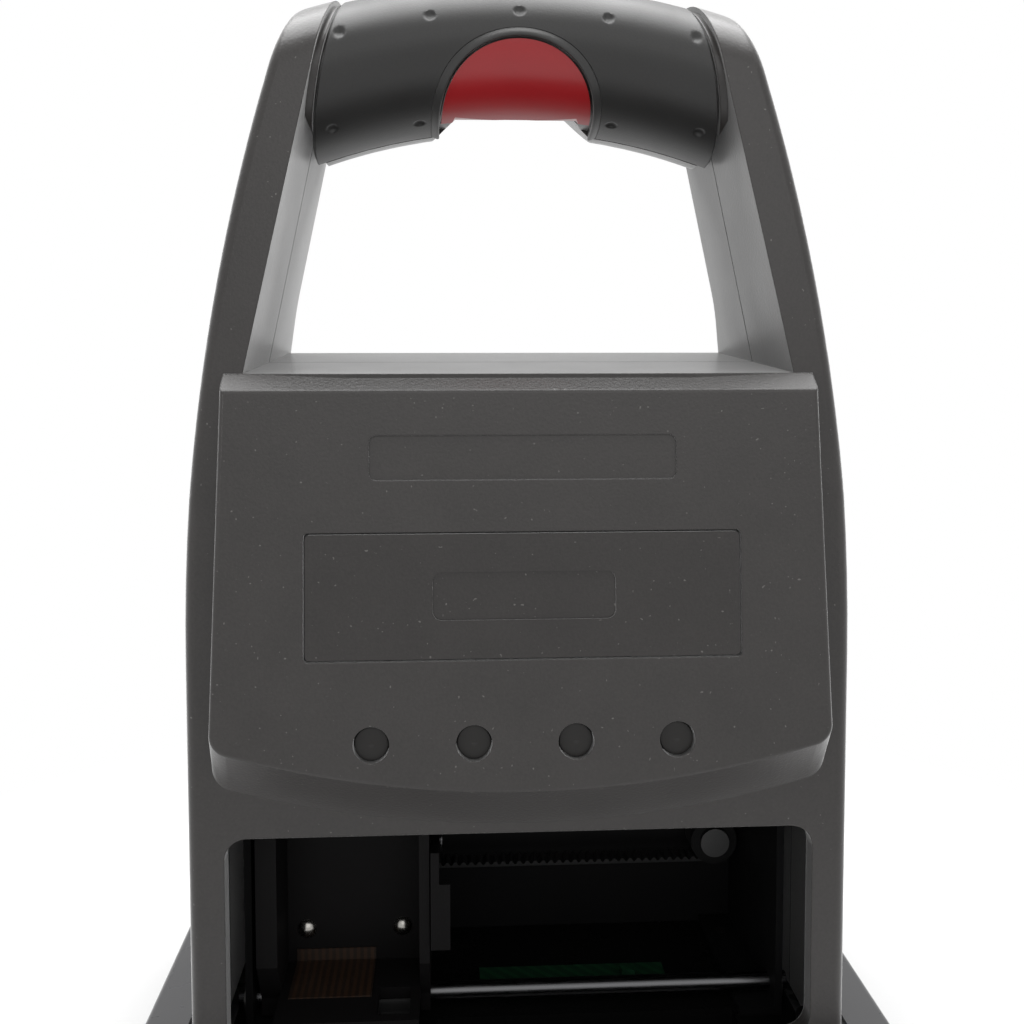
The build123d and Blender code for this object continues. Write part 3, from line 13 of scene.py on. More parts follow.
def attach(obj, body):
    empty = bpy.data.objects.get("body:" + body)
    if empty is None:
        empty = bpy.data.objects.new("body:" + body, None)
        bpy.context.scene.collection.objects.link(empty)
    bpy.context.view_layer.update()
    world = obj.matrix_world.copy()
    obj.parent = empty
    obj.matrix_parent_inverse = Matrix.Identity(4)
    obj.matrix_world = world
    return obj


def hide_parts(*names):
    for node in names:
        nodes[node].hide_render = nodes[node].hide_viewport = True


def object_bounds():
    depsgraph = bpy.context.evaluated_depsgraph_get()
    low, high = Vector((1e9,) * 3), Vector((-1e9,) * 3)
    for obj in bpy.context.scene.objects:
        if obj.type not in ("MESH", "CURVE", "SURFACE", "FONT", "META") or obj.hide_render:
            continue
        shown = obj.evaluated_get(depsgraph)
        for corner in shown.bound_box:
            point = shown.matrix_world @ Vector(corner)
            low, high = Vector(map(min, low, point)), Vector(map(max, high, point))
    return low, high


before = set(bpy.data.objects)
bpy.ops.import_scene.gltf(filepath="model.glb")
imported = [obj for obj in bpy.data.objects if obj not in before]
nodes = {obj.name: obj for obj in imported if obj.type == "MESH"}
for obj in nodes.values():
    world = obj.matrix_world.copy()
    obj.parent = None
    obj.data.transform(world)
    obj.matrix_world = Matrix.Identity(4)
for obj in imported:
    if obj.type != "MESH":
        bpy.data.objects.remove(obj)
cad_low, cad_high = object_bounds()
mm = 0.001


# Base plate: the flange that is pressed down on the work while the printer prints.
# It is one smooth moulding in dark grey plastic, screwed up into the casing from below.
def noise(tree, size, detail=3.0, stretch=(1, 1, 1)):
    """Noise on the part's own coordinates: lumps of one size, drawn out along the axes by a stretch."""
    place = tree.nodes.new("ShaderNodeTexCoord")
    scale = tree.nodes.new("ShaderNodeMapping")
    scale.inputs["Scale"].default_value = [1 / (size * part) for part in stretch]
    pattern = tree.nodes.new("ShaderNodeTexNoise")
    pattern.inputs["Scale"].default_value = 1.0
    pattern.inputs["Detail"].default_value = detail
    tree.links.new(place.outputs["Object"], scale.inputs["Vector"])
    tree.links.new(scale.outputs["Vector"], pattern.inputs["Vector"])
    return pattern.outputs["Fac"]


def spread(tree, value, span, out):
    """A number that runs over the out pair while a value runs over its span, held at both ends."""
    change = tree.nodes.new("ShaderNodeMapRange")
    change.inputs["From Min"].default_value = span[0]
    change.inputs["From Max"].default_value = span[1]
    change.inputs["To Min"].default_value = out[0]
    change.inputs["To Max"].default_value = out[1]
    tree.links.new(value, change.inputs["Value"])
    return change.outputs["Result"]


def two_tone(tree, value, span, first, second):
    """A colour that runs from the first to the second while a value runs over its span."""
    tone = tree.nodes.new("ShaderNodeValToRGB")
    tone.color_ramp.elements[0].position = span[0]
    tone.color_ramp.elements[0].color = (*first, 1)
    tone.color_ramp.elements[1].position = span[1]
    tone.color_ramp.elements[1].color = (*second, 1)
    tree.links.new(value, tone.inputs["Fac"])
    return tone.outputs["Color"]


def combine(tree, first, second, share):
    """Two values added, the second weighed by a share and the first by what is left."""
    part = tree.nodes.new("ShaderNodeMath")
    part.operation = "MULTIPLY"
    tree.links.new(first, part.inputs[0])
    part.inputs[1].default_value = 1 - share
    whole = tree.nodes.new("ShaderNodeMath")
    whole.operation = "MULTIPLY_ADD"
    tree.links.new(second, whole.inputs[0])
    whole.inputs[1].default_value = share
    tree.links.new(part.outputs["Value"], whole.inputs[2])
    return whole.outputs["Value"]


def lay_over(tree, ground, share, colour):
    """A plain colour laid over a ground by a share from 0 to 1."""
    layer = tree.nodes.new("ShaderNodeMixRGB")
    tree.links.new(share, layer.inputs["Fac"])
    tree.links.new(ground, layer.inputs["Color1"])
    layer.inputs["Color2"].default_value = (*colour, 1)
    return layer.outputs["Color"]


def lift_grain(tree, value, height, edge=0.0):
    """Lets a value raise the surface by up to a height, as bump, over edges that look rounded."""
    bump = tree.nodes.new("ShaderNodeBump")
    bump.inputs["Distance"].default_value = height
    tree.links.new(value, bump.inputs["Height"])
    tree.links.new(bump.outputs["Normal"], tree.nodes["Principled BSDF"].inputs["Normal"])
    if edge:
        rounding = tree.nodes.new("ShaderNodeBevel")
        rounding.inputs["Radius"].default_value = edge
        tree.links.new(rounding.outputs["Normal"], bump.inputs["Normal"])


def moulded(name, colour, roughness, grain, lift, shade=0.12, specular=0.4, sheen=0.0, edge=0.0, dust=0.0):
    """A moulded finish: fine grain lifts the skin, and fine and cloudy noise shift its colour and gloss.

    Its edges can look rounded, and a little pale dust can lie on it.
    """
    material = bpy.data.materials.new(name)
    material.use_nodes = True
    tree = material.node_tree
    shader = tree.nodes["Principled BSDF"]
    shader.inputs["Specular IOR Level"].default_value = specular
    shader.inputs["Sheen Weight"].default_value = sheen
    shader.inputs["Sheen Roughness"].default_value = 0.3
    fine = noise(tree, grain)
    cloud = noise(tree, 12 * mm, 4.0)
    dark = [part * (1 - shade) for part in colour]
    light = [min(1.0, part * (1 + shade)) for part in colour]
    mixed = combine(tree, cloud, fine, 0.6)
    skin = two_tone(tree, mixed, (0.3, 0.7), dark, light)
    if dust:
        specks = spread(tree, noise(tree, 0.6 * mm, 0.0), (0.82, 0.86), (0, dust))
        skin = lay_over(tree, skin, specks, (0.4, 0.39, 0.37))
    tree.links.new(skin, shader.inputs["Base Color"])
    gloss = spread(tree, cloud, (0.3, 0.7), (roughness * 0.92, min(1.0, roughness * 1.08)))
    tree.links.new(gloss, shader.inputs["Roughness"])
    lift_grain(tree, fine, lift, edge)
    return material


def paint_inside_shade(material, half_x, half_y, top):
    """Paints what a finish covers inside an upright box round the origin dull black, as painted shade for
    the dark inside of the casing.
    """
    tree = material.node_tree
    shader = tree.nodes["Principled BSDF"]
    place = tree.nodes.new("ShaderNodeTexCoord")
    scale = tree.nodes.new("ShaderNodeMapping")
    scale.inputs["Scale"].default_value = (1 / half_x, 1 / half_y, 1 / top)
    size = tree.nodes.new("ShaderNodeVectorMath")
    size.operation = "ABSOLUTE"
    parts = tree.nodes.new("ShaderNodeSeparateXYZ")
    tree.links.new(place.outputs["Object"], scale.inputs["Vector"])
    tree.links.new(scale.outputs["Vector"], size.inputs[0])
    tree.links.new(size.outputs["Vector"], parts.inputs["Vector"])
    flat = tree.nodes.new("ShaderNodeMath")
    flat.operation = "MAXIMUM"
    tree.links.new(parts.outputs["X"], flat.inputs[0])
    tree.links.new(parts.outputs["Y"], flat.inputs[1])
    whole = tree.nodes.new("ShaderNodeMath")
    whole.operation = "MAXIMUM"
    tree.links.new(flat.outputs["Value"], whole.inputs[0])
    tree.links.new(parts.outputs["Z"], whole.inputs[1])
    # One inside the box, where the surface gets the painted shade: near-black colour, little gloss and no
    # sheen.
    inside_shade = spread(tree, whole.outputs["Value"], (0.999, 1.0), (1, 0))
    ground = shader.inputs["Base Color"].links[0].from_socket
    tree.links.new(lay_over(tree, ground, inside_shade, (0.005, 0.005, 0.005)), shader.inputs["Base Color"])
    shine = shader.inputs["Specular IOR Level"].default_value
    tree.links.new(spread(tree, inside_shade, (0, 1), (shine, 0.06)), shader.inputs["Specular IOR Level"])
    cling = shader.inputs["Sheen Weight"].default_value
    tree.links.new(spread(tree, inside_shade, (0, 1), (cling, 0)), shader.inputs["Sheen Weight"])


def dress(node_names, material):
    """Gives CAD nodes a finish."""
    for name in node_names:
        nodes[name].data.materials.clear()
        nodes[name].data.materials.append(material)


base_finish = moulded(
    "base_plastic", (0.06, 0.06, 0.0625), roughness=0.28, grain=0.5 * mm, lift=0.002 * mm, shade=0.06,
    sheen=0.5,
)
# The plate's part inside the casing is painted shade: dull black instead of its grey.
paint_inside_shade(base_finish, half_x=63.0 * mm, half_y=38.0 * mm, top=70.0 * mm)
dress(["base_plate"], base_finish)


# Feet: four round pads of black rubber pressed into pockets under the plate's corners.
# Each is turned from one profile, with a rounded rim and a shallow dish so that its rim grips.
def grid_piece(name, points, close_rows=False, close_columns=False, cap_ends=False):
    """A mesh over one or more grids of points: four neighbours make a face, and doubled points merge."""
    if points.ndim == 3:
        points = points[None]
    copies, rows, columns = points.shape[:3]
    index = np.arange(rows * columns).reshape(rows, columns)
    if close_rows:
        index = np.vstack((index, index[:1]))
    if close_columns:
        index = np.hstack((index, index[:, :1]))
    corners = (index[:-1, :-1], index[1:, :-1], index[1:, 1:], index[:-1, 1:])
    quads = np.stack(corners, axis=-1).reshape(-1, 4)
    starts = np.arange(copies)[:, None, None] * rows * columns
    faces = (quads[None] + starts).reshape(-1, 4).tolist()
    if cap_ends:
        faces.append(index[0, :columns].tolist())
        faces.append(index[-1, :columns][::-1].tolist())
    mesh = bpy.data.meshes.new(name)
    mesh.from_pydata(points.reshape(-1, 3).tolist(), [], faces)
    clean = bmesh.new()
    clean.from_mesh(mesh)
    bmesh.ops.remove_doubles(clean, verts=clean.verts, dist=0.001 * mm)
    bmesh.ops.dissolve_degenerate(clean, edges=clean.edges, dist=0.0005 * mm)
    bmesh.ops.recalc_face_normals(clean, faces=clean.faces)
    clean.to_mesh(mesh)
    clean.free()
    mesh.polygons.foreach_set("use_smooth", np.ones(len(mesh.polygons), bool))
    mesh.set_sharp_from_angle(angle=radians(38))
    piece = bpy.data.objects.new(name, mesh)
    bpy.context.scene.collection.objects.link(piece)
    return piece


foot_profile = np.array(
    [(0, 2.95), (5.9, 2.95), (6.0, 2.8), (6.0, 0.8), (5.92, 0.45), (5.72, 0.2), (5.4, 0.05), (5.1, 0),
     (4.3, 0), (4.1, 0.06), (3.9, 0.25), (3.5, 0.4), (0, 0.45)]
) * mm
foot_steps = 64
foot_turn = np.linspace(0, 2 * pi, foot_steps, endpoint=False)[:, None]
foot_x = 70
foot_y = 45
foot_places = np.array([(-foot_x, -foot_y), (-foot_x, foot_y), (foot_x, -foot_y), (foot_x, foot_y)])
foot_places = foot_places[:, :, None, None] * mm
foot_ring = np.stack(
    (foot_profile[:, 0] * np.cos(foot_turn), foot_profile[:, 0] * np.sin(foot_turn),
     foot_profile[:, 1] + 0 * foot_turn), axis=-1,
)
foot_points = np.repeat(foot_ring[None], 4, axis=0)
foot_points[..., 0] += foot_places[:, 0]
foot_points[..., 1] += foot_places[:, 1]
foot_pads = grid_piece("foot_pads", foot_points, close_rows=True)
rubber_finish = moulded(
    "black_rubber", (0.014, 0.014, 0.014), roughness=0.72, grain=0.35 * mm, lift=0.01 * mm, specular=0.3
)
foot_pads.data.materials.append(rubber_finish)
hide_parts("rubber_feet")
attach(foot_pads, "casing")


# Seal: a flat rubber strip in a groove of the base plate, held down by the casing's rim.
# Its open part carries two low ribs that run right round the casing.
def rounded_loop(half_x, half_y, corner, steps=12):
    """Points round a rectangle with quarter-round corners, counter-clockwise from its right side."""
    turn = np.linspace(0, pi / 2, steps)
    turns = np.concatenate([turn + quarter * pi / 2 for quarter in range(4)])
    side_x = np.repeat([1, -1, -1, 1], steps)
    side_y = np.repeat([1, 1, -1, -1], steps)
    across = side_x * (half_x - corner) + corner * np.cos(turns)
    along = side_y * (half_y - corner) + corner * np.sin(turns)
    return np.stack((across, along), axis=-1)


seal_profile = np.array(
    [(0.0, 6.0), (0.0, 7.1), (0.15, 7.3), (0.5, 7.34), (1.0, 7.36), (1.3, 7.52), (1.7, 7.58), (2.1, 7.52),
     (2.4, 7.36), (3.2, 7.36), (3.5, 7.52), (3.9, 7.58), (4.3, 7.52), (4.6, 7.36), (5.2, 7.36), (6.9, 7.36),
     (7.0, 7.3), (7.0, 6.0)]
)
seal_half_x = 73.0
seal_half_y = 47.6
seal_corner = 8.0


def raised_loop(half_x, half_y, corner, height):
    """A rounded rectangle's points, all lifted to one height."""
    loop = rounded_loop(half_x, half_y, corner)
    return np.column_stack((loop, np.full(len(loop), height)))


seal_points = np.stack(
    [raised_loop(seal_half_x - inward, seal_half_y - inward, seal_corner - inward, height)
     for inward, height in seal_profile], axis=1,
) * mm
seal_strip = grid_piece("seal_strip", seal_points, close_rows=True, close_columns=True)
seal_strip.data.materials.append(rubber_finish)
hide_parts("base_seal")
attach(seal_strip, "casing")


# Chassis and brackets: folded steel sheet screwed to the base plate, coloured near black as painted shade
# for the dark inside of the casing.
# The drive motor behind the chassis gets the same near-black painted shade.
sheet_finish = moulded(
    "black_sheet", (0.006, 0.006, 0.0063), roughness=0.6, grain=0.6 * mm, lift=0.006 * mm, specular=0.08
)
dress(["chassis_plate", "left_bracket", "right_bracket", "drive_motor"], sheet_finish)


# Guide rods, pins and clips: ground and blued steel, with fine streaks along each bar.
# The rods run across the casing between the brackets and are held by spring clips.
def bare_metal(name, colour, roughness, size, stretch):
    """A bare metal: noise drawn out along the way it was worked shifts its gloss and scores it lightly."""
    material = bpy.data.materials.new(name)
    material.use_nodes = True
    tree = material.node_tree
    shader = tree.nodes["Principled BSDF"]
    shader.inputs["Metallic"].default_value = 1.0
    streak = noise(tree, size, 4.0, stretch)
    dark = [part * 0.88 for part in colour]
    light = [min(1.0, part * 1.08) for part in colour]
    tree.links.new(two_tone(tree, streak, (0.3, 0.7), dark, light), shader.inputs["Base Color"])
    gloss = spread(tree, streak, (0.3, 0.7), (roughness * 0.8, roughness * 1.25))
    tree.links.new(gloss, shader.inputs["Roughness"])
    lift_grain(tree, streak, 0.002 * mm)
    return material


rod_finish = bare_metal(
    "blued_steel", (0.09, 0.09, 0.093), roughness=0.26, size=0.15 * mm, stretch=(40, 1, 1)
)
dress(["rear_guide_rod", "front_guide_rod", "trigger_pin", "latch_pin"], rod_finish)
turned_finish = bare_metal(
    "turned_steel", (0.1, 0.1, 0.1), roughness=0.45, size=0.2 * mm, stretch=(1, 30, 1)
)
dress(["motor_shaft", "idler_axle", "rod_clips"], turned_finish)


# Carriage: a black moulded box that slides on the rods and takes the ink cartridge.
# Its bushes are sintered bronze, and a lever at its side latches the cartridge down.
carriage_finish = moulded(
    "black_moulding", (0.0062, 0.0058, 0.006), roughness=0.55, grain=0.4 * mm, lift=0.02 * mm, specular=0.07
)
dress(["carriage", "belt_clamp", "latch_lever"], carriage_finish)
bush_finish = bare_metal(
    "sintered_bronze", (0.45, 0.29, 0.13), roughness=0.45, size=0.12 * mm, stretch=(1, 1, 1)
)
dress(["carriage_bushes"], bush_finish)
screw_finish = bare_metal(
    "plated_screws", (0.34, 0.33, 0.31), roughness=0.24, size=0.15 * mm, stretch=(1, 1, 8)
)
dress(
    ["contact_screws", "clamp_screws", "motor_screws", "board_screws", "housing_screws", "base_screws"],
    screw_finish,
)


# Contact flex: a thin brown film on the carriage's floor with dull copper tracks side by side.
def striped(name, ground, stripe, pitch, axis, share, roughness):
    """Straight tracks of one colour on a ground of another, a pitch apart across one axis."""
    material = bpy.data.materials.new(name)
    material.use_nodes = True
    tree = material.node_tree
    shader = tree.nodes["Principled BSDF"]
    shader.inputs["Specular IOR Level"].default_value = 0.3
    place = tree.nodes.new("ShaderNodeTexCoord")
    bands = tree.nodes.new("ShaderNodeTexWave")
    bands.bands_direction = axis
    bands.inputs["Scale"].default_value = 1 / (pitch * 10 / pi)
    tree.links.new(place.outputs["Object"], bands.inputs["Vector"])
    colour = two_tone(tree, bands.outputs["Fac"], (share - 0.08, share + 0.08), ground, stripe)
    tree.links.new(colour, shader.inputs["Base Color"])
    cloud = noise(tree, 4 * mm)
    gloss = spread(tree, cloud, (0.3, 0.7), (roughness * 0.85, roughness * 1.2))
    tree.links.new(gloss, shader.inputs["Roughness"])
    lift_grain(tree, bands.outputs["Fac"], 0.02 * mm)
    return material


flex_finish = striped(
    "amber_film", (0.014, 0.008, 0.005), (0.03, 0.015, 0.008), pitch=1.6 * mm, axis="X", share=0.5,
    roughness=0.5,
)
dress(["contact_flex"], flex_finish)


# Belt drive: two pulleys in black acetal, one on the motor's shaft, and a toothed belt between them.
# The belt is black rubber with teeth at a 2 mm pitch on its inner side.
pulley_finish = moulded(
    "black_acetal", (0.008, 0.008, 0.008), roughness=0.5, grain=0.5 * mm, lift=0.004 * mm, shade=0.05,
    specular=0.1,
)
dress(["motor_pulley", "idler_pulley"], pulley_finish)
belt_left = -50.0
belt_right = 51.5
belt_level = 34.0
belt_pitch_radius = 5.0
belt_teeth = 117
steps_per_tooth = 10
belt_root_radius = 5.08
belt_back_radius = 5.66
belt_back_round = 0.12
tooth_depth = 0.7
belt_straight = belt_right - belt_left
belt_length = 2 * belt_straight + 2 * pi * belt_pitch_radius
belt_way = np.linspace(0, belt_length, belt_teeth * steps_per_tooth, endpoint=False)
half_turn = pi * belt_pitch_radius
belt_ends = [0, belt_straight, belt_straight + half_turn, 2 * belt_straight + half_turn, belt_length]
belt_x = np.interp(belt_way, belt_ends, [belt_left, belt_right, belt_right, belt_left, belt_left])
belt_turn = np.interp(belt_way, belt_ends, [pi / 2, pi / 2, -pi / 2, -pi / 2, -3 * pi / 2])
tooth_wave = np.cos(belt_way * 2 * pi * belt_teeth / belt_length)
tooth_height = tooth_depth * np.clip(0.5 + 1.1 * tooth_wave, 0, 1)
belt_inner = belt_root_radius - tooth_height
belt_back = np.full_like(belt_way, belt_back_radius)
belt_edge = belt_back - belt_back_round
belt_radius = np.stack((belt_inner, belt_inner, belt_edge, belt_back, belt_back, belt_edge), axis=1)
belt_y = np.array([8.55, 13.45, 13.45, 13.3, 8.7, 8.55])
belt_points = np.stack(
    (belt_x[:, None] + belt_radius * np.cos(belt_turn)[:, None], belt_y + 0 * belt_radius,
     belt_level + belt_radius * np.sin(belt_turn)[:, None]), axis=-1,
) * mm
toothed_belt = grid_piece("toothed_belt", belt_points, close_rows=True, close_columns=True)
toothed_belt.data.materials.append(rubber_finish)
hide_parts("timing_belt")
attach(toothed_belt, "casing")


# Parking cap: a small rubber cup on the base plate under the place where the carriage rests.
# Its lip closes the nozzles while the printer stands idle.
cap_foot = 8.0
cap_floor = 11.1
cap_profile = [
    (0.0, cap_foot), (0.0, 12.9), (0.05, 13.3), (0.12, 13.7), (0.28, 13.98), (0.5, 14.08), (0.72, 13.98),
    (0.88, 13.7), (0.95, 13.3), (1.0, 12.4), (1.05, 11.4), (1.4, 11.15), (2.4, cap_floor), (4.49, cap_floor),
]
cap_half_x = 4.5
cap_half_y = 6.0
cap_corner = 1.4
cap_middle = np.array([-27.0, -28.65, 0.0])
cap_rows = [
    raised_loop(cap_half_x - inward, cap_half_y - inward, max(cap_corner - inward, 0.01), height)
    for inward, height in cap_profile
]
cap_rows.append(raised_loop(0, 0, 0, cap_floor))
cap_rows.insert(0, raised_loop(0, 0, 0, cap_foot))
cap_points = (np.stack(cap_rows, axis=1) + cap_middle) * mm
nozzle_cup = grid_piece("nozzle_cup", cap_points, close_rows=True)
nozzle_cup.data.materials.append(rubber_finish)
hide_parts("parking_cap")
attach(nozzle_cup, "casing")


# Boards and strip: green circuit boards with tracks under the lacquer, and a clear film strip
# with fine dark lines that the carriage reads its place from.
board_finish = striped(
    "board_green", (0.006, 0.03, 0.014), (0.01, 0.05, 0.022), pitch=1.9 * mm, axis="DIAGONAL", share=0.62,
    roughness=0.42,
)
dress(["panel_board", "main_board", "sensor_board"], board_finish)
strip_finish = striped(
    "strip_film", (0.2, 0.2, 0.2), (0.03, 0.03, 0.03), pitch=0.34 * mm, axis="X", share=0.5, roughness=0.25
)
dress(["encoder_strip"], strip_finish)


# Switches, sockets and battery: bought parts in plain black plastic.
fitting_finish = moulded(
    "black_fitting", (0.016, 0.016, 0.017), roughness=0.42, grain=0.5 * mm, lift=0.006 * mm, shade=0.08
)
dress(
    ["trigger_switch", "key_switches", "power_socket", "interface_socket", "battery_pack"], fitting_finish,
)


# Casing shells: two mouldings in dark warm grey plastic with a fine spark-grained skin.
# They meet at the parting plane and are drawn together by long screws from behind.
shell_finish = moulded(
    "grained_shell", (0.025, 0.0225, 0.0213), roughness=0.32, grain=0.55 * mm, lift=0.035 * mm, shade=0.2,
    specular=0.45, sheen=0.9, edge=0.4 * mm, dust=0.2,
)
# The shells' insides are painted shade: dull black instead of their grey.
paint_inside_shade(shell_finish, half_x=62.8 * mm, half_y=37.5 * mm, top=62.0 * mm)
dress(["front_shell", "rear_shell", "battery_door"], shell_finish)
cover_finish = moulded(
    "cover_plastic", (0.022, 0.0196, 0.0186), roughness=0.34, grain=0.55 * mm, lift=0.035 * mm, shade=0.2,
    sheen=0.9, dust=0.2,
)
dress(["cover_plate"], cover_finish)


# Keys: smooth domed discs in grey plastic, each in its own round hole in the console.
key_finish = moulded(
    "key_plastic", (0.017, 0.016, 0.0152), roughness=0.4, grain=0.5 * mm, lift=0.003 * mm, shade=0.05,
    specular=0.22,
)
dress(["key_1", "key_2", "key_3", "key_4"], key_finish)


# Grip pad: a soft dark layer moulded over the front of the grip, with small dimples in rows.
# It ends in rolled edges at the collars, the parting line and the trigger's rim.
grip_axis = 81.2 * mm
grip_arch = 140.0 * mm
grip_depth = 24.0 * mm
grip_height = 15.3 * mm
grip_middle = -11.0 * mm
pad_thickness = 1.55 * mm
pad_roll = 0.3 * mm
hole_roll = 0.12 * mm
arm_lean = 10.7 / 49.4
pad_level = (55.1 - 2.0 * hypot(1, arm_lean) + arm_lean * (152.6 - 81.2)) * mm
trigger_middle = 203.9 * mm
trigger_hole = 18.25 * mm
edge_tilt = acos(1.0 / 24.0)


def grip_point(turn, tilt, inset):
    """The grip's skin less an inset: an oval section, met a tilt up from its front, carried round."""
    reach = grip_arch + (grip_height - inset) * np.sin(tilt)
    depth = grip_middle - (grip_depth - inset) * np.cos(tilt)
    return np.stack((reach * np.sin(turn), depth + 0 * turn, grip_axis + reach * np.cos(turn)), axis=-1)


def end_turn(tilt):
    """How far round the arch the pad runs at a tilt, up to a plane set off from the arm's inner face."""
    reach = grip_arch + grip_height * np.sin(tilt)
    return np.arcsin(pad_level / (reach * hypot(1, arm_lean))) - atan(arm_lean)


def turn_and_tilt(across, height):
    """The turn and tilt of the point of the grip's front that is seen at a place from ahead."""
    reach = np.hypot(across, height - grip_axis)
    tilt = np.arcsin(np.clip((reach - grip_arch) / grip_height, -1, 1))
    return np.arctan2(across, height - grip_axis), tilt


def roll(distance, radius):
    """How far the skin sinks in a quarter round of a radius at a distance from an edge."""
    short = radius - np.clip(distance, 0, radius)
    return radius - np.sqrt(radius**2 - short**2)


bearing = np.linspace(0, pi, 4001)
hole_x = trigger_hole * np.cos(bearing)
hole_z = trigger_middle + trigger_hole * np.sin(bearing)
hole_turn, hole_tilt = turn_and_tilt(hole_x, hole_z)
hole_across = hole_turn / end_turn(hole_tilt)
hole_up = hole_tilt / edge_tilt + 1
corner_ray = atan2(2, 1)
near_edge = np.array([0, 0.0015, 0.004, 0.007, 0.011, 0.016, 0.022, 0.029])
side_rays = np.concatenate((near_edge, np.linspace(0.037, corner_ray, 126)))
top_rays = np.linspace(corner_ray, pi - corner_ray, 170)[1:-1]
rays = np.concatenate((side_rays, top_rays, pi - side_rays[::-1]))
hole_rays = np.unwrap(np.arctan2(hole_up, hole_across))
ray_start = np.interp(rays, hole_rays, np.hypot(hole_across, hole_up))
ray_end = np.minimum(1 / np.abs(np.cos(rays)), 2 / np.maximum(np.sin(rays), 1e-6))
near_rim = np.array([0, 0.003, 0.008, 0.014, 0.022, 0.032])
front_steps = np.concatenate((near_rim, np.linspace(0.045, 0.955, 104), 1 - near_rim[::-1]))
back_steps = np.linspace(1, 0, 12)
steps = np.concatenate((front_steps, back_steps))
ray_reach = ray_start[:, None] + (ray_end - ray_start)[:, None] * steps
pad_tilt = (ray_reach * np.sin(rays)[:, None] - 1) * edge_tilt
pad_share = ray_reach * np.cos(rays)[:, None]
pad_turn = pad_share * end_turn(pad_tilt)
skin = grip_point(pad_turn, pad_tilt, 0)
sink = roll(np.hypot(skin[..., 0], skin[..., 2] - trigger_middle) - trigger_hole, hole_roll)
sink = np.maximum(sink, roll((1 - np.abs(pad_share)) * end_turn(pad_tilt) * grip_arch, pad_roll))
sink = np.maximum(sink, roll((edge_tilt - np.abs(pad_tilt)) * grip_depth, pad_roll / 2))
dimple_x = np.array([-36.2, -18.1, 0, 18.1, 36.2, -20.6, 20.6, -38.6, 38.6]) * mm
dimple_rise = np.array([4.5, 4.5, 4.5, 4.5, 4.5, -14.0, -14.0, -12.4, -12.4]) * mm
dimple_z = grip_axis + np.sqrt(grip_arch**2 - dimple_x**2) + dimple_rise
dimple_middle = grip_point(*turn_and_tilt(dimple_x, dimple_z), 0)
dimple_radius = 1.25 * mm
dimple_depth = 0.55 * mm
dimple_away = np.linalg.norm(skin[:, :, None] - dimple_middle, axis=-1) / dimple_radius
dimple_sink = dimple_depth * np.clip(1 - dimple_away**2, 0, 1) ** 0.8
sink = sink + dimple_sink.max(axis=-1)
sink[:, len(front_steps):] = pad_thickness
grip_skin = grid_piece("grip_skin", grip_point(pad_turn, pad_tilt, sink), close_columns=True, cap_ends=True)
grip_finish = moulded(
    "grip_rubber", (0.02, 0.0197, 0.0193), roughness=0.42, grain=0.4 * mm, lift=0.02 * mm, specular=0.4,
    sheen=0.3,
)
grip_skin.data.materials.append(grip_finish)
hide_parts("grip_pad")
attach(grip_skin, "casing")


# Trigger and its rim: a red moulded trigger that follows the grip, inside a raised lip.
# The lip swells out of the pad, is highest near the trigger and turns down steeply beside it.
rim_profile = np.array(
    [(18.2, -2.4), (18.2, -0.5), (18.2, -0.03), (18.0, 0.06), (17.7, 0.24), (17.4, 0.43), (17.15, 0.55),
     (16.95, 0.6), (16.78, 0.57), (16.65, 0.46), (16.58, 0.28), (16.55, 0.0), (16.55, -0.8), (16.55, -2.4)]
) * mm
rim_out = rim_profile[:, 0]
rim_reach = grip_arch - grip_height * sin(edge_tilt)
rim_apart = trigger_middle - grip_axis
rim_low = (rim_reach**2 - rim_out**2 - grip_axis**2 + trigger_middle**2) / (2 * rim_apart)
rim_start = np.arcsin((rim_low - trigger_middle) / rim_out)
rim_way = 0.5 - 0.5 * np.cos(np.linspace(0, pi, 181))[:, None]
rim_bearing = rim_start + rim_way * (pi - 2 * rim_start)
rim_x = rim_out * np.cos(rim_bearing)
rim_z = trigger_middle + rim_out * np.sin(rim_bearing)
rim_turn, rim_tilt = turn_and_tilt(rim_x, rim_z)
rim_points = grip_point(rim_turn, rim_tilt, -rim_profile[:, 1] + 0 * rim_tilt)
trigger_lip = grid_piece("trigger_lip", rim_points, close_columns=True, cap_ends=True)
rim_finish = moulded(
    "rim_plastic", (0.03, 0.0295, 0.029), roughness=0.42, grain=0.4 * mm, lift=0.008 * mm, sheen=0.15
)
trigger_lip.data.materials.append(rim_finish)
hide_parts("trigger_bezel")
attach(trigger_lip, "casing")
trigger_finish = moulded(
    "trigger_red", (0.28, 0.006, 0.009), roughness=0.3, grain=0.3 * mm, lift=0.006 * mm, shade=0.08,
    specular=0.5, sheen=1.0,
)
dress(["trigger"], trigger_finish)


# Studio: a pale floor that keeps the printer's shadow, a white surround and two soft lamps.
def seen_rays(tree):
    """One for rays that show the surround: straight to the camera, by gloss or through glass."""
    path = tree.nodes.new("ShaderNodeLightPath")
    straight = tree.nodes.new("ShaderNodeMath")
    straight.operation = "MAXIMUM"
    tree.links.new(path.outputs["Is Camera Ray"], straight.inputs[0])
    tree.links.new(path.outputs["Is Glossy Ray"], straight.inputs[1])
    whole = tree.nodes.new("ShaderNodeMath")
    whole.operation = "MAXIMUM"
    tree.links.new(straight.outputs["Value"], whole.inputs[0])
    tree.links.new(path.outputs["Is Transmission Ray"], whole.inputs[1])
    return whole.outputs["Value"]


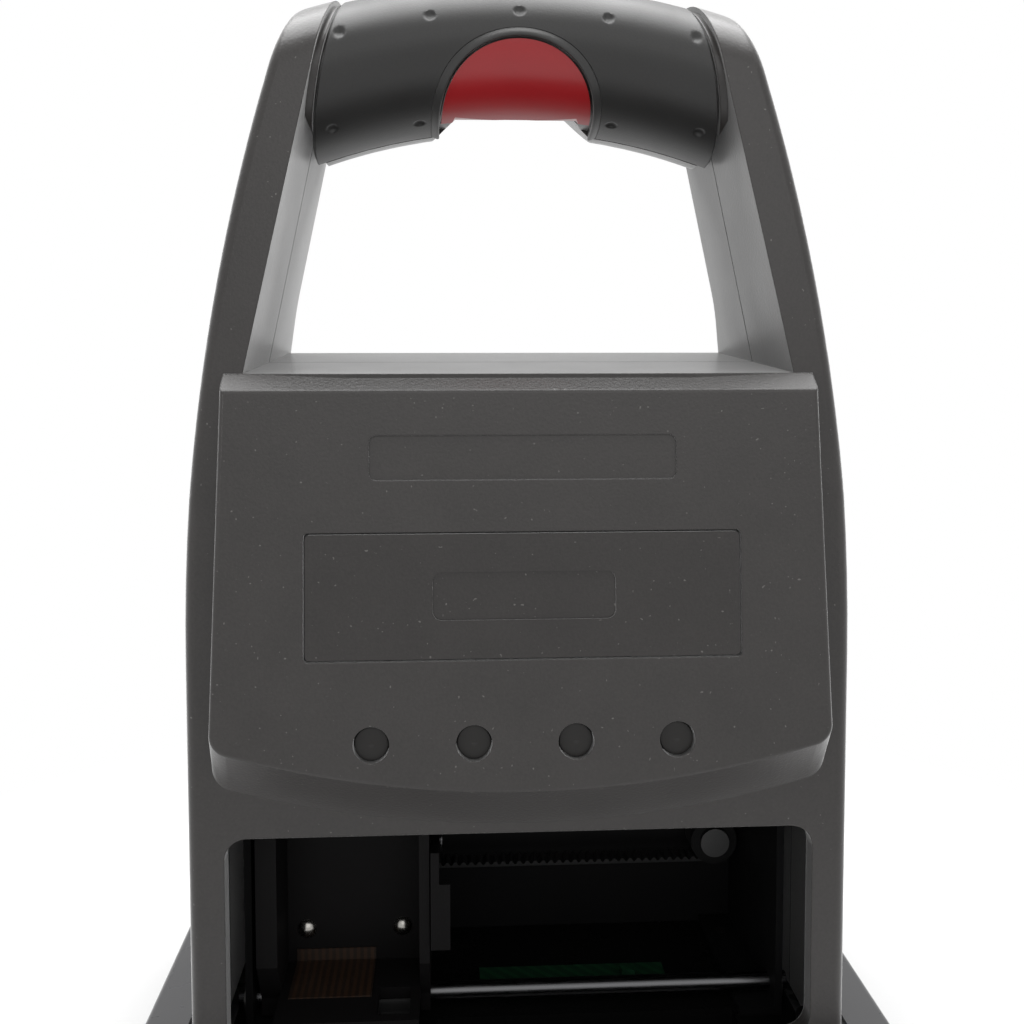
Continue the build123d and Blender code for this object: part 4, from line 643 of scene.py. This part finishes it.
floor_reach = 3.0
floor_mesh = bpy.data.meshes.new("floor")
floor_mesh.from_pydata(
    [(-floor_reach, -floor_reach, 0), (floor_reach, -floor_reach, 0), (floor_reach, floor_reach, 0),
     (-floor_reach, floor_reach, 0)], [], [(0, 1, 2, 3)],
)
floor = bpy.data.objects.new("floor", floor_mesh)
bpy.context.scene.collection.objects.link(floor)
floor_finish = bpy.data.materials.new("pale_floor")
floor_finish.use_nodes = True
floor_mesh.materials.append(floor_finish)
tree = floor_finish.node_tree
shader = tree.nodes["Principled BSDF"]
shader.inputs["Base Color"].default_value = (0.82, 0.82, 0.82, 1)
shader.inputs["Roughness"].default_value = 0.7
shader.inputs["Specular IOR Level"].default_value = 0.2
place = tree.nodes.new("ShaderNodeTexCoord")
away = tree.nodes.new("ShaderNodeVectorMath")
away.operation = "LENGTH"
tree.links.new(place.outputs["Object"], away.inputs[0])
seen = seen_rays(tree)
far_off = tree.nodes.new("ShaderNodeMath")
far_off.operation = "MULTIPLY"
tree.links.new(spread(tree, away.outputs["Value"], (0.1, 0.22), (0, 1)), far_off.inputs[0])
tree.links.new(seen, far_off.inputs[1])
white = tree.nodes.new("ShaderNodeEmission")
blend = tree.nodes.new("ShaderNodeMixShader")
tree.links.new(far_off.outputs["Value"], blend.inputs["Fac"])
tree.links.new(shader.outputs["BSDF"], blend.inputs[1])
tree.links.new(white.outputs["Emission"], blend.inputs[2])
tree.links.new(blend.outputs["Shader"], tree.nodes["Material Output"].inputs["Surface"])

world = bpy.data.worlds.new("studio")
bpy.context.scene.world = world
world.use_nodes = True
tree = world.node_tree
sky = tree.nodes["Background"]
sky.inputs["Color"].default_value = (1, 1, 1, 1)
tree.links.new(spread(tree, seen_rays(tree), (0, 1), (0.62, 1.0)), sky.inputs["Strength"])


def softbox(name, place, aim, width, height, power):
    """A rectangular studio light at a place, turned to an aim point."""
    lamp = bpy.data.lights.new(name, "AREA")
    lamp.shape = "RECTANGLE"
    lamp.size = width
    lamp.size_y = height
    lamp.energy = power
    holder = bpy.data.objects.new(name, lamp)
    bpy.context.scene.collection.objects.link(holder)
    holder.location = place
    holder.rotation_mode = "QUATERNION"
    holder.rotation_quaternion = (Vector(aim) - Vector(place)).to_track_quat("-Z", "Y")
    return holder


middle = (cad_low + cad_high) / 2
softbox("top_light", (0, 0.1, 0.9), middle, width=0.9, height=0.7, power=11.0)
softbox("front_fill", (0.1, -0.9, 0.55), middle, width=0.8, height=0.6, power=1.2)

# Camera: close in front of the console, a little to its left, with the lens raised against the frame.
eye = Vector((-14.1, -260.0, 156.0)) * mm
yaw = radians(3.16)
pitch = radians(-3.3)
roll_over = radians(-0.07)
camera_data = bpy.data.cameras.new("camera")
camera = bpy.data.objects.new("camera", camera_data)
bpy.context.scene.collection.objects.link(camera)
bpy.context.scene.camera = camera
camera_data.sensor_width = 36.0
camera_data.lens = 38.67
camera_data.shift_y = -0.09
camera_data.clip_start = 0.01
camera.location = eye
look = Vector((sin(yaw) * cos(pitch), cos(yaw) * cos(pitch), sin(pitch)))
camera.rotation_mode = "QUATERNION"
camera.rotation_quaternion = look.to_track_quat("-Z", "Y") @ Quaternion((0, 0, 1), roll_over)
bpy.context.scene.view_settings.view_transform = "Standard"
